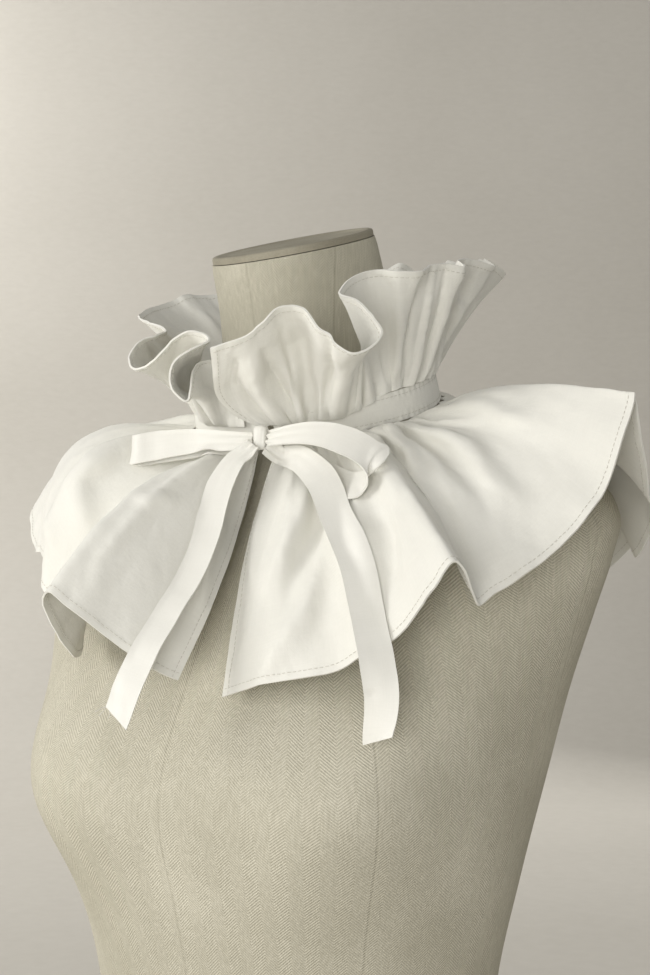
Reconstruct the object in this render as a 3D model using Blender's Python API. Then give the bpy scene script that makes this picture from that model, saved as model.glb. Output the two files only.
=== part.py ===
"""A white cotton collar, gathered on a neck band and tied with ribbon, on a limbless dress form.

Metres, +Z up, the form's flat underside on z = 0 under the centre of its neck, its front facing -Y.
A bearing is in degrees about +Z, from the front round by the wearer's left, so 90 is the left shoulder.
Tables are in millimetres and degrees.
"""

import math

import bmesh
import bpy
import numpy as np
from mathutils import Vector
from mathutils.bvhtree import BVHTree

MM = 0.001

# Neck band: an oval ring that leans forward with the neck
BAND_SIDE = 72.0
BAND_FRONT = 66.0
BAND_HEIGHT = 570.0
BAND_TILT = 16.0
BAND_WIDTH = 17.0
BAND_WALL = 2.0
BAND_FLARE = 0.08
OPENING_AT = 5.0
OPENING_HALF = 4.0
BAND_STEPS = 60

# Cloth strips
CLOTH_WALL = 1.2
SEAM_GAP = 1.4
GATHER_FADE = 0.32
END_FADE = 14.0
KNEE = 0.5
BEND_SPREAD = 0.9
SWING_SPREAD = 0.6
FAR_OUT = 400.0

FRILL_WIDTH = 70.0
FRILL_GATHERS = 44
FRILL_GATHER_DEPTH = 1.9
FRILL_ROWS = (0.0, 0.09, 0.22, 0.4, 0.6, 0.8, 1.0)

FLOUNCE_WIDTH = 150.0
FLOUNCE_GATHERS = 36
FLOUNCE_GATHER_DEPTH = 2.4
FLOUNCE_CLEAR = 3.0
FLOUNCE_ROWS = (0.0, 0.05, 0.13, 0.23, 0.34, 0.46, 0.58, 0.7, 0.85, 1.0)

COLUMNS_PER_GATHER = 4
PATH_STEPS = 32

# Each row is one fold of the standing frill, from the wearer's left front end round the back to the right one.
# base: bearing on the band; leaves, ends: bearing of the cloth at the band and at the free edge;
# rise, tops: its slope above level at the band and at the free edge; share: its width as a share of the whole.
FRILL_COLUMNS = ("base", "leaves", "ends", "rise", "tops", "share")
FRILL_FOLDS = (
    (4, -64, 30, 12, 44, 1.0),
    (8, -50, 34, 16, 44, 1.0),
    (12, -34, 36, 22, 42, 1.0),
    (17, -10, 30, 34, 42, 1.0),
    (22, 12, 23, 50, 38, 1.0),
    (26, 27, 28, 50, 34, 1.0),
    (30, 30, 30, 42, 24, 1.0),
    (34, 32, 34, 34, 12, 1.0),
    (38, 36, 38, 28, 8, 1.0),
    (43, 44, 44, 34, 16, 1.0),
    (46, 42, 42, 38, 22, 1.0),
    (49, 36, 28, 50, 34, 1.0),
    (53, 26, 2, 58, 40, 1.0),
    (57, 22, 0, 72, 54, 1.0),
    (61, 28, 6, 76, 62, 1.0),
    (66, 38, 18, 74, 60, 1.0),
    (70, 48, 30, 70, 56, 1.0),
    (73, 58, 42, 68, 56, 1.0),
    (76, 64, 52, 74, 62, 1.0),
    (79, 68, 60, 72, 60, 1.0),
    (82, 75, 62, 66, 56, 1.0),
    (86, 80, 74, 60, 54, 1.0),
    (91, 84, 70, 68, 60, 1.0),
    (98, 94, 84, 68, 58, 1.0),
    (106, 106, 110, 60, 48, 1.0),
    (114, 114, 104, 66, 56, 1.0),
    (124, 124, 130, 52, 38, 1.0),
    (134, 134, 126, 66, 56, 1.0),
    (145, 146, 152, 52, 38, 1.0),
    (156, 156, 148, 66, 58, 1.0),
    (167, 168, 174, 54, 42, 1.0),
    (178, 178, 170, 68, 60, 1.0),
    (189, 190, 196, 54, 42, 1.0),
    (200, 200, 192, 66, 58, 1.0),
    (211, 212, 218, 52, 40, 1.0),
    (221, 222, 216, 64, 54, 1.0),
    (232, 236, 238, 58, 44, 1.0),
    (239, 250, 256, 58, 42, 1.0),
    (246, 256, 272, 56, 42, 1.0),
    (253, 246, 284, 50, 40, 1.0),
    (260, 262, 330, 44, 30, 1.0),
    (266, 316, 362, 38, 24, 1.0),
    (271, 325, 378, 36, 20, 1.0),
    (277, 326, 388, 36, 16, 1.0),
    (283, 341, 380, 32, 17, 1.0),
    (287, 341, 373, 30, 18, 1.0),
    (291, 341, 369, 24, 18, 1.0),
    (295, 342, 367, 18, 16, 1.0),
    (299, 342, 371, 16, 11, 1.0),
    (304, 344, 378, 17, 10, 1.0),
    (309, 346, 385, 23, 13, 1.0),
    (314, 348, 398, 36, 25, 1.0),
    (318, 360, 403, 43, 25, 1.0),
    (321, 372, 406, 44, 20, 1.0),
    (324, 372, 406, 42, 16, 1.0),
    (328, 364, 393, 38, 14, 0.96),
    (332, 356, 379, 32, 10, 0.9),
    (336, 352, 373, 25, 2, 0.84),
    (340, 351, 372, 20, -5, 0.78),
    (344, 354, 374, 20, -7, 0.7),
    (348, 352, 356, 50, 36, 0.55),
    (352, 354, 354, 68, 60, 0.42),
    (356, 357, 357, 74, 70, 0.36),
)

# The cape flounce, the same way: two fans at the front, a crest that stands over the left shoulder,
# a lobe that breaks over the right one, and lower folds across the back. knee: where along its width it turns.
FLOUNCE_COLUMNS = ("base", "leaves", "ends", "rise", "tops", "knee")
FLOUNCE_FOLDS = (
    (11, 4, 6, -54, -72, 0.5),
    (17, 20, 26, -42, -70, 0.45),
    (23, 32, 40, -44, -62, 0.5),
    (29, 40, 44, -34, -62, 0.5),
    (36, 44, 48, -28, -58, 0.5),
    (41, 46, 49, -22, -42, 0.5),
    (45, 49, 50, -18, -34, 0.5),
    (49, 54, 55, -26, -46, 0.5),
    (55, 58, 57, -16, -54, 0.5),
    (61, 62, 61, -16, -46, 0.5),
    (66, 66, 63, -12, -42, 0.5),
    (70, 70, 68, -6, -32, 0.5),
    (74, 73, 70, 2, -24, 0.5),
    (78, 76, 72, 12, -8, 0.45),
    (82, 78, 71, 17, -10, 0.45),
    (86, 81, 72, 10, -20, 0.45),
    (90, 87, 80, -2, -44, 0.6),
    (95, 94, 92, -8, -70, 0.76),
    (101, 102, 102, -8, -76, 0.72),
    (109, 111, 113, -20, -66, 0.6),
    (118, 120, 124, -14, -56, 0.5),
    (131, 132, 136, -40, -58, 0.5),
    (144, 146, 150, -18, -52, 0.5),
    (158, 158, 162, -44, -62, 0.5),
    (172, 172, 174, -26, -56, 0.5),
    (186, 186, 186, -50, -64, 0.5),
    (200, 198, 196, -26, -56, 0.5),
    (214, 212, 208, -46, -62, 0.5),
    (228, 226, 224, -20, -52, 0.5),
    (240, 240, 238, -34, -54, 0.5),
    (251, 250, 246, -12, -50, 0.6),
    (262, 262, 260, -22, -56, 0.7),
    (273, 272, 272, -6, -62, 0.7),
    (284, 281, 282, -10, -84, 0.66),
    (294, 290, 290, 4, -94, 0.56),
    (304, 300, 299, 4, -96, 0.52),
    (314, 310, 306, 0, -92, 0.5),
    (324, 318, 312, 4, -88, 0.48),
    (333, 328, 320, -24, -84, 0.46),
    (340, 336, 330, -36, -64, 0.5),
    (345, 342, 343, -16, -50, 0.5),
    (350, 348, 346, -20, -52, 0.5),
    (355, 354, 350, -28, -58, 0.5),
    (362, 366, 362, -62, -48, 0.5),
)

# Dress form, at its heights above the floor: half width, depth in front of and behind the neck's centre,
# forward tilt and sideways lean of the section, and its squareness, which is 2 for an oval
FORM_COLUMNS = ("height", "half_width", "front", "back", "tilt", "lean", "squareness")
FORM_SECTIONS = (
    (0, 154, 122, 92, 0, 0, 2.3),
    (60, 158, 126, 96, 0, 0, 2.3),
    (130, 138, 118, 84, 0, 0, 2.2),
    (190, 116, 112, 66, 0, 0, 2.1),
    (240, 119, 118, 70, 0, 0, 2.1),
    (300, 132, 126, 80, 0, 0, 2.1),
    (360, 146, 130, 90, 0, 0, 2.2),
    (410, 158, 118, 94, 0, 0, 2.2),
    (450, 170, 100, 93, 0, 0, 2.2),
    (480, 180, 86, 90, 2, 0, 2.1),
    (502, 184, 74, 84, 5, 0, 2.0),
    (520, 170, 64, 78, 8, 0, 2.0),
    (536, 134, 58, 73, 11, 0, 2.0),
    (550, 90, 54, 65, 14, 0, 2.0),
    (560, 68, 52, 60, 16, 0, 2.0),
    (574, 58, 51, 54, 16, 0, 2.0),
    (600, 51, 57, 44, 16, 1, 2.0),
    (632, 48.5, 62, 36, 15, 2.5, 2.0),
    (661, 47.5, 69, 25, 15, 3.5, 2.0),
)
RINGS_PER_SECTION = 2
FORM_POINTS = 42
BUST_HEIGHT = 352.0
BUST_BEARING = 31.0
BUST_RISE = 26.0
BUST_SPREAD = 27.0
BUST_TALL = 58.0
NECK_SWAY = 0.4
CAP_GAP = 0.35
CAP_THICK = 4.0
CAP_INSET = 2.0

# Ribbon tie: each row is a place on the ribbon's middle line, the way its width points there,
# and its least distance from the flounce below it
RIBBON_WIDTH = 17.5
RIBBON_WALL = 1.0
RIBBON_OUTSIDE = 1.2
RIBBON_COLUMNS = ("bearing", "reach", "height", "width_bearing", "width_rise", "lift")
KNOT_AT = (9.5, 84.0, 544.5)
KNOT_SIZE = (8.5, 8.0, 13.5)
KNOT_SQUARE = 0.7
RIGHT_LOOP = (
    (6.5, 86, 543, 200, 76, 4.4),
    (-6, 88, 543, 200, 74, 4.4),
    (-19, 92, 543, 200, 72, 4.4),
    (-29, 103, 541, 200, 70, 4.4),
    (-33.5, 112, 539, 200, 70, 4.8),
    (-37, 112, 538, 200, 70, 3.2),
    (-34.5, 107, 538, 200, 70, 1.4),
    (-28, 97, 540, 200, 70, 1.4),
    (-18, 86, 541, 200, 72, 1.4),
    (-6, 81, 541, 200, 74, 1.4),
    (6, 79, 541, 200, 76, 1.4),
)
LEFT_LOOP = (
    (12.5, 86, 544, 176, 74, 4.6),
    (22, 92, 544, 176, 68, 4.6),
    (31, 102, 542, 176, 60, 5.0),
    (38, 111, 536, 176, 56, 5.0),
    (43, 121, 530, 176, 54, 4.6),
    (45.5, 122, 526, 176, 54, 3.0),
    (43, 116, 521, 176, 56, 1.4),
    (38, 109, 519, 176, 60, 1.4),
    (32, 96, 527, 176, 64, 1.4),
    (23, 84, 538, 176, 70, 1.4),
    (13, 79, 542, 176, 76, 1.4),
)
RIGHT_TAIL = (
    (6, 92, 537, 50, -50, 3.0),
    (3, 96, 532, 72, -24, 3.0),
    (1, 104, 520, 86, -6, 2.0),
    (1, 113, 505, 90, 2, 1.6),
    (1.5, 122, 490, 92, 4, 1.6),
    (1, 136, 470, 92, 4, 1.6),
    (0, 152, 453, 92, 2, 2.2),
    (-1, 167, 435, 92, 0, 3.0),
    (-2, 175, 420, 92, 2, 3.0),
    (-3, 182, 402, 90, 6, 1.6),
)
LEFT_TAIL = (
    (18, 84, 534, 60, 50, 3.0),
    (24.5, 93, 533, 84, 34, 3.0),
    (30, 105, 526, 104, 18, 3.0),
    (33, 114, 517, 114, 6, 3.0),
    (35.5, 129, 500, 120, 0, 2.2),
    (38, 148, 480, 122, -2, 1.6),
    (39, 162, 460, 124, -2, 1.6),
    (39.5, 172, 445, 124, -2, 1.6),
    (40, 178, 431, 122, -4, 1.6),
    (40.5, 180, 414, 112, -6, 1.6),
    (40, 178, 394, 96, -8, 1.6),
)
RIBBON_STEPS_PER_ROW = 3
END_SLANT = 8.0

SHARP_OVER = 50.0
COTTON = ("cotton", (0.86, 0.84, 0.80), 0.75)
RIBBON = ("ribbon", (0.84, 0.83, 0.80), 0.5)
LINEN = ("linen", (0.55, 0.52, 0.43), 0.85)


def clear_scene():
    for obj in list(bpy.data.objects):
        bpy.data.objects.remove(obj)


def material(finish):
    name, colour, roughness = finish
    made = bpy.data.materials.get(name) or bpy.data.materials.new(name)
    made.use_nodes = True
    shader = made.node_tree.nodes["Principled BSDF"]
    shader.inputs["Base Color"].default_value = (*colour, 1.0)
    shader.inputs["Roughness"].default_value = roughness
    return made


def shade(mesh):
    mesh.polygons.foreach_set("use_smooth", [True] * len(mesh.polygons))
    mesh.set_sharp_from_angle(angle=math.radians(SHARP_OVER))


def add_object(name, points_mm, faces, finish):
    mesh = bpy.data.meshes.new(name)
    mesh.from_pydata([tuple(MM * x for x in p) for p in points_mm], [], faces)
    bodied = bmesh.new()
    bodied.from_mesh(mesh)
    bmesh.ops.recalc_face_normals(bodied, faces=bodied.faces)
    bodied.to_mesh(mesh)
    bodied.free()
    mesh.materials.append(material(finish))
    shade(mesh)
    obj = bpy.data.objects.new(name, mesh)
    bpy.context.scene.collection.objects.link(obj)
    return obj


def curve_through(columns, rows, name, at):
    """A smooth curve through one column of a table, against its first column."""
    knots = np.array([row[0] for row in rows], float)
    values = np.array([row[columns.index(name)] for row in rows], float)
    slopes = np.gradient(values, knots)
    cell = np.clip(np.searchsorted(knots, at, side="right") - 1, 0, len(knots) - 2)
    span = knots[cell + 1] - knots[cell]
    t = np.clip((at - knots[cell]) / span, 0.0, 1.0)
    start, end = values[cell], values[cell + 1]
    leave, arrive = slopes[cell] * span, slopes[cell + 1] * span
    return (
        start * (2 * t**3 - 3 * t**2 + 1)
        + leave * (t**3 - 2 * t**2 + t)
        + end * (3 * t**2 - 2 * t**3)
        + arrive * (t**3 - t**2)
    )


def smooth(t):
    t = np.clip(t, 0.0, 1.0)
    return t * t * (3 - 2 * t)


def heading(bearing, rise=0.0):
    """The unit vector that points along a bearing and above level by rise."""
    b, r = np.radians(bearing), np.radians(rise)
    return np.stack([np.cos(r) * np.sin(b), -np.cos(r) * np.cos(b), np.sin(r) + 0 * b], -1)


def band_point(bearing, up, out=0.0):
    """A point on the band's oval, up along its width and out through its wall."""
    wide = 1.0 - BAND_FLARE * up / BAND_SIDE
    b = np.radians(bearing)
    x = (BAND_SIDE * wide + out) * np.sin(b)
    y = -(BAND_FRONT * wide + out) * np.cos(b)
    tilt = math.radians(BAND_TILT)
    z = BAND_HEIGHT + math.tan(tilt) * y
    return np.stack([x, y - math.sin(tilt) * up, z + math.cos(tilt) * up], -1)


def grid_faces(across, along, closed=False):
    """Faces of a grid of points, numbered row by row, that may close on itself along each row."""
    faces = []
    for low in range(0, (along - 1) * across, across):
        high = low + across
        for i in range(across if closed else across - 1):
            after = (i + 1) % across
            faces.append((low + i, low + after, high + after, high + i))
    return faces


def gathered_strip(columns, folds, width, rows, gathers, depth, seam_up):
    """The middle surface of a strip gathered onto the band: an array of rows, each a line of points."""
    bearings = np.linspace(folds[0][0], folds[-1][0], gathers * COLUMNS_PER_GATHER + 1)
    curves = {name: curve_through(columns, folds, name, bearings) for name in columns[1:]}
    knee = curves.get("knee", KNEE)
    step = width * curves.get("share", 1.0 + 0 * bearings) / PATH_STEPS
    pleat = np.sin(np.arange(len(bearings)) * 2 * math.pi / COLUMNS_PER_GATHER)
    from_end = np.minimum(bearings - bearings[0], bearings[-1] - bearings)
    flat_ends = smooth(from_end / END_FADE)
    outward = heading(bearings)
    place = band_point(bearings, seam_up, depth - BAND_WALL / 2)
    path = [place]
    for k in range(PATH_STEPS):
        along = (k + 0.5) / PATH_STEPS
        bend = smooth((along - knee) / BEND_SPREAD + 0.5)
        swing = smooth(along / SWING_SPREAD + 0 * bearings)
        bearing = curves["leaves"] + (curves["ends"] - curves["leaves"]) * swing
        rise = curves["rise"] + (curves["tops"] - curves["rise"]) * bend
        place = place + step[:, None] * heading(bearing, rise)
        path.append(place)
    path = np.array(path)
    strip = []
    for share in rows:
        at = share * PATH_STEPS
        low = min(int(at), PATH_STEPS - 1)
        points = path[low] + (path[low + 1] - path[low]) * (at - low)
        ripple = depth * math.exp(-((share / GATHER_FADE) ** 2)) * flat_ends
        strip.append(points + outward * (pleat * ripple)[:, None])
    return np.array(strip)


def skin_tree(obj):
    """A search tree of an object's faces, in millimetres."""
    return BVHTree.FromPolygons([v.co / MM for v in obj.data.vertices], [p.vertices for p in obj.data.polygons])


def lay_clear(points, under, gaps):
    """Moves points out of an object's skin until each is its own gap away from it."""
    tree = skin_tree(under)
    for k, point in enumerate(points):
        place = Vector(point)
        near, normal, _, _ = tree.find_nearest(place)
        height = (place - near).dot(normal)
        if height < gaps[k]:
            points[k] = place + normal * (gaps[k] - height)


def lay_outside(points, under, gap):
    """Moves points away from the neck until they are a gap outside an object at their own height."""
    tree = skin_tree(under)
    for k, point in enumerate(points):
        out = Vector((point[0], point[1], 0.0)).normalized()
        start = out * FAR_OUT + Vector((0.0, 0.0, point[2]))
        met, _, _, distance = tree.ray_cast(start, -out, FAR_OUT)
        if met is not None and FAR_OUT - distance + gap > math.hypot(point[0], point[1]):
            points[k] = met + out * gap


def strip_object(name, strip, wall, finish):
    along, across = strip.shape[:2]
    obj = add_object(name, strip.reshape(-1, 3), grid_faces(across, along), finish)
    thick = obj.modifiers.new("wall", "SOLIDIFY")
    thick.thickness = wall * MM
    thick.offset = 0.0
    solid = obj.evaluated_get(bpy.context.evaluated_depsgraph_get())
    walled = bpy.data.meshes.new_from_object(solid)
    obj.modifiers.clear()
    obj.data = walled
    shade(walled)
    return obj


def neck_band():
    bearings = np.linspace(OPENING_AT + OPENING_HALF, OPENING_AT + 360 - OPENING_HALF, BAND_STEPS + 1)
    half = BAND_WIDTH / 2
    rows = np.array([band_point(bearings, up) for up in (-half, half)])
    return strip_object("neck_band", rows, BAND_WALL, COTTON)


def standing_frill():
    seam = BAND_WIDTH / 2 + SEAM_GAP
    strip = gathered_strip(
        FRILL_COLUMNS, FRILL_FOLDS, FRILL_WIDTH, FRILL_ROWS, FRILL_GATHERS, FRILL_GATHER_DEPTH, seam
    )
    return strip_object("standing_frill", strip, CLOTH_WALL, COTTON)


def cape_flounce():
    seam = -BAND_WIDTH / 2 - SEAM_GAP
    strip = gathered_strip(
        FLOUNCE_COLUMNS, FLOUNCE_FOLDS, FLOUNCE_WIDTH, FLOUNCE_ROWS, FLOUNCE_GATHERS, FLOUNCE_GATHER_DEPTH, seam
    )
    form = bpy.data.objects["form_body"]
    below_seam = strip[1:].reshape(-1, 3)
    lay_clear(below_seam, form, np.full(len(below_seam), FLOUNCE_CLEAR))
    return strip_object("cape_flounce", strip, CLOTH_WALL, COTTON)


def form_ring(height, points):
    """One section of the dress form, as points round it from the front by the wearer's left."""
    half, front, back, tilt, lean, square = (
        float(curve_through(FORM_COLUMNS, FORM_SECTIONS, name, np.array([height]))[0])
        for name in FORM_COLUMNS[1:]
    )
    bearings = np.arange(points) * 360 / points
    b = np.radians(bearings)
    x = half * np.sign(np.sin(b)) * np.abs(np.sin(b)) ** (2 / square)
    y = (back - front) / 2 - (back + front) / 2 * np.sign(np.cos(b)) * np.abs(np.cos(b)) ** (2 / square)
    off_side = (bearings + 180) % 360 - 180
    tall = math.exp(-(((height - BUST_HEIGHT) / BUST_TALL) ** 2))
    swell = sum(np.exp(-(((off_side - s * BUST_BEARING) / BUST_SPREAD) ** 2)) for s in (-1, 1))
    reach = np.hypot(x, y)
    grow = 1 + BUST_RISE * tall * swell / reach
    x, y = x * grow, y * grow
    slope = math.tan(math.radians(lean))
    z = height + math.tan(math.radians(tilt)) * y + slope * x
    x = x - slope * NECK_SWAY * max(0.0, height - BAND_HEIGHT)
    return np.stack([x, y, z], -1)


def dress_form():
    heights = [
        low[0] + (high[0] - low[0]) * part / RINGS_PER_SECTION
        for low, high in zip(FORM_SECTIONS, FORM_SECTIONS[1:])
        for part in range(RINGS_PER_SECTION)
    ]
    heights.append(FORM_SECTIONS[-1][0])
    rings = np.array([form_ring(height, FORM_POINTS) for height in heights])
    faces = grid_faces(FORM_POINTS, len(heights), closed=True)
    last = (len(heights) - 1) * FORM_POINTS
    faces.append(tuple(range(FORM_POINTS)))
    faces.append(tuple(range(last, last + FORM_POINTS)))
    return add_object("form_body", rings.reshape(-1, 3), faces, LINEN)


def neck_cap():
    """A flat cap on the neck's slanted top."""
    top = form_ring(FORM_SECTIONS[-1][0], FORM_POINTS)
    centre = top.mean(axis=0)
    normal = np.cross(top[FORM_POINTS // 4] - centre, top[FORM_POINTS // 2] - centre)
    normal /= np.linalg.norm(normal)
    reach = np.linalg.norm(top - centre, axis=1)[:, None]
    outline = top - (top - centre) / reach * CAP_INSET + normal * CAP_GAP
    points = np.concatenate([outline, outline + normal * CAP_THICK])
    faces = grid_faces(FORM_POINTS, 2, closed=True)
    faces.append(tuple(range(FORM_POINTS)))
    faces.append(tuple(range(FORM_POINTS, 2 * FORM_POINTS)))
    return add_object("neck_cap", points, faces, LINEN)


def ribbon_lines(rows, steps_per_row):
    """A ribbon's middle line, half its width, its direction and its lift, at steps along a table."""
    numbered = [(k, *row) for k, row in enumerate(rows)]
    columns = ("row", *RIBBON_COLUMNS)
    at = np.linspace(0, len(rows) - 1, (len(rows) - 1) * steps_per_row + 1)
    bearing, reach, height, turn, rise, lift = (
        curve_through(columns, numbered, name, at) for name in RIBBON_COLUMNS
    )
    middle = heading(bearing) * reach[:, None]
    middle[:, 2] = height
    tangent = np.gradient(middle, axis=0)
    tangent /= np.linalg.norm(tangent, axis=1)[:, None]
    across = heading(turn, rise)
    across -= tangent * (across * tangent).sum(axis=1)[:, None]
    across /= np.linalg.norm(across, axis=1)[:, None]
    half = RIBBON_WIDTH / 2
    return middle, across * half, tangent, lift


def ribbon(name, rows, slant=0.0, narrow_ends=(1.0, 1.0)):
    """A ribbon of three lines of points, its middle and its edges, whose last end may be cut at a slant."""
    middle, across, tangent, lift = ribbon_lines(rows, RIBBON_STEPS_PER_ROW)
    count = len(middle)
    share = np.linspace(0, 1, count)
    pinch = np.minimum(1.0, narrow_ends[0] + (1 - narrow_ends[0]) * share / 0.3)
    pinch = np.minimum(pinch, narrow_ends[1] + (1 - narrow_ends[1]) * (1 - share) / 0.3)
    across = across * pinch[:, None]
    strip = np.array([middle - across, middle, middle + across])
    strip[0, -1] -= tangent[-1] * slant / 2
    strip[2, -1] += tangent[-1] * slant / 2
    flounce = bpy.data.objects["cape_flounce"]
    lay_outside(strip.reshape(-1, 3), flounce, RIBBON_OUTSIDE)
    lay_clear(strip.reshape(-1, 3), flounce, np.tile(lift, len(strip)))
    return strip_object(name, strip, RIBBON_WALL, RIBBON)


def bow_knot():
    bearing, reach, height = KNOT_AT
    out = heading(bearing)
    side = heading(bearing + 90)
    up = np.array([0.0, 0.0, 1.0])
    centre = out * reach + up * height
    solid = bmesh.new()
    bmesh.ops.create_icosphere(solid, subdivisions=2, radius=1.0)
    points = []
    for vert in solid.verts:
        squared = [math.copysign(abs(c) ** KNOT_SQUARE, c) for c in vert.co]
        wide, deep, tall = (size / 2 * share for size, share in zip(KNOT_SIZE, squared))
        points.append(centre + side * wide + out * deep + up * tall)
    faces = [tuple(v.index for v in f.verts) for f in solid.faces]
    solid.free()
    return add_object("bow_knot", points, faces, RIBBON)


def main():
    clear_scene()
    dress_form()
    neck_cap()
    neck_band()
    standing_frill()
    cape_flounce()
    bow_knot()
    ribbon("bow_loop_right", RIGHT_LOOP, narrow_ends=(0.45, 0.45))
    ribbon("bow_loop_left", LEFT_LOOP, narrow_ends=(0.45, 0.45))
    ribbon("bow_tail_right", RIGHT_TAIL, slant=END_SLANT, narrow_ends=(0.5, 1.0))
    ribbon("bow_tail_left", LEFT_TAIL, slant=-END_SLANT, narrow_ends=(0.5, 1.0))


main()
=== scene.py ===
# %% [markdown]
# # A gathered collar on a dress form
#
# This notebook dresses a white cotton collar that stands on a limbless dress form: a plain neck band,
# a frill that stands above it, a wide flounce below it, and a ribbon tied in a bow at the throat.
# The plain solids come in from the shared frame. Each step below gives one of them its real surface.

# %% Load the shared frame
import math

import bmesh
import bpy
import numpy as np
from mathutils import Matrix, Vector
from mathutils.bvhtree import BVHTree


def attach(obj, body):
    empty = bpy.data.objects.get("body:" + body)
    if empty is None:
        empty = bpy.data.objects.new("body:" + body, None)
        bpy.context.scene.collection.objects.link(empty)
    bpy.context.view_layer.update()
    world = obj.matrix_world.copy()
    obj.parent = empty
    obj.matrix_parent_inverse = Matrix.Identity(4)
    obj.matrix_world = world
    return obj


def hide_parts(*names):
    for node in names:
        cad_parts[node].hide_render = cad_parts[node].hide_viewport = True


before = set(bpy.data.objects)
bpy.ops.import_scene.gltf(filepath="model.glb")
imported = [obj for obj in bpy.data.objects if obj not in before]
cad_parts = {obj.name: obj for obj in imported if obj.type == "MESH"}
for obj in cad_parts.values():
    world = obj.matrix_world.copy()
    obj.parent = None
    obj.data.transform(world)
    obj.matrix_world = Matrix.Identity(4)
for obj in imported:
    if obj.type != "MESH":
        bpy.data.objects.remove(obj)
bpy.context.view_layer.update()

# %% [markdown]
# ## One unit and one way round
#
# Cloth is cut in millimetres, so every table below is in millimetres, and becomes metres only where a mesh
# is made. A bearing is an angle round the neck in degrees: 0 is the front, and 90 is the wearer's left
# shoulder. A smooth curve through a few rows gives a shape that is easy to change: move one
# row, and the cloth on both sides of it follows.

# %% Curves and directions
MM = 0.001
TINY = 1e-9


def curve_through(columns, rows, name, at):
    """A smooth curve through one column of a table, against its first column."""
    knots = np.array([row[0] for row in rows], float)
    values = np.array([row[columns.index(name)] for row in rows], float)
    slopes = np.gradient(values, knots)
    cell = np.clip(np.searchsorted(knots, at, side="right") - 1, 0, len(knots) - 2)
    span = knots[cell + 1] - knots[cell]
    t = np.clip((at - knots[cell]) / span, 0.0, 1.0)
    start, end = values[cell], values[cell + 1]
    leave, arrive = slopes[cell] * span, slopes[cell + 1] * span
    return (
        start * (2 * t**3 - 3 * t**2 + 1)
        + leave * (t**3 - 2 * t**2 + t)
        + end * (3 * t**2 - 2 * t**3)
        + arrive * (t**3 - t**2)
    )


def smooth(t):
    """A step from 0 to 1 that starts and ends level."""
    t = np.clip(t, 0.0, 1.0)
    return t * t * (3 - 2 * t)


def heading(bearing, rise=0.0):
    """The unit vector that points along a bearing and above level by rise."""
    b, r = np.radians(bearing), np.radians(rise)
    return np.stack([np.cos(r) * np.sin(b), -np.cos(r) * np.cos(b), np.sin(r) + 0 * b], -1)


def run_along(line):
    """The distance from the start of a line of points to each of them."""
    return np.concatenate([[0], np.cumsum(np.linalg.norm(np.diff(line, axis=0), axis=1))])


halfway = curve_through(("at", "value"), ((0, 0), (1, 1)), "value", np.array([0.5]))
print("halfway between two rows the curve passes", halfway)

# %% [markdown]
# ## Soft unevenness
#
# Real cloth is never even. A table of random heights, read with smooth steps between them, gives low soft
# hills. The table comes from a seed, so each run makes the same cloth.

# %% Soft random hills
NOISE_CELLS = 61


def soft_hills(across, along, size, seed):
    """Random heights between about -1 and 1 at places in millimetres, with hills of a given size."""
    table = np.random.default_rng(seed).uniform(-1, 1, (NOISE_CELLS, NOISE_CELLS))
    x, y = across / size[0], along / size[1]
    i, j = np.floor(x).astype(int), np.floor(y).astype(int)
    fx, fy = smooth(x - i), smooth(y - j)

    def height(right, up):
        return table[(i + right) % NOISE_CELLS, (j + up) % NOISE_CELLS]

    low = height(0, 0) * (1 - fx) + height(1, 0) * fx
    high = height(0, 1) * (1 - fx) + height(1, 1) * fx
    return low * (1 - fy) + high * fy


tried = soft_hills(np.linspace(0, 200, 50), np.linspace(0, 90, 50), (14, 45), 3)
print(f"hills run from {tried.min():.2f} to {tried.max():.2f}")

# %% [markdown]
# ## From a grid of points to a thin cloth
#
# A sheet of cloth is easiest to think of as a grid: one way round the neck, the other way from the seam to
# the hem. The grid is the middle of the cloth. Moving it out and in by half the cloth's thickness, and
# closing the four borders, gives a real wall with two faces and an edge. A solidify modifier would do the
# same with one thickness everywhere. Here the thickness is worked out point by point, so that a hem can
# be thicker than the cloth beside it. The UV holds the place on the flat cut in metres, which lets the
# weave follow the threads round every fold.

# %% Grid faces, normals and a closed wall
SHARP_OVER = 50.0


def grid_faces(across, along, closed=False):
    """Faces of a grid of points, numbered row by row, that may close on itself along each row."""
    faces = []
    for low in range(0, (along - 1) * across, across):
        high = low + across
        for i in range(across if closed else across - 1):
            after = (i + 1) % across
            faces.append((low + i, low + after, high + after, high + i))
    return faces


def grid_normals(grid):
    """Unit normals of a grid of points, from its neighbours round the neck and along the cloth."""
    normal = np.cross(np.gradient(grid, axis=1), np.gradient(grid, axis=0))
    return normal / np.maximum(np.linalg.norm(normal, axis=2, keepdims=True), TINY)


def add_piece(name, points, faces, material, slot, cut=None):
    """A mesh piece on the root body. cut gives each point's place on the flat cloth in metres."""
    mesh = bpy.data.meshes.new(name)
    mesh.from_pydata((np.asarray(points) * MM).tolist(), [], faces)
    if cut is not None:
        corner = np.empty(len(mesh.loops), int)
        mesh.loops.foreach_get("vertex_index", corner)
        mesh.uv_layers.new(name="cut").data.foreach_set("uv", cut[corner].ravel())
    else:
        turned = bmesh.new()
        turned.from_mesh(mesh)
        bmesh.ops.recalc_face_normals(turned, faces=turned.faces)
        turned.to_mesh(mesh)
        turned.free()
    mesh.materials.append(material)
    mesh.polygons.foreach_set("use_smooth", [True] * len(mesh.polygons))
    mesh.set_sharp_from_angle(angle=math.radians(SHARP_OVER))
    piece = bpy.data.objects.new(name, mesh)
    bpy.context.scene.collection.objects.link(piece)
    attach(piece, "root")
    return piece


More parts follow.
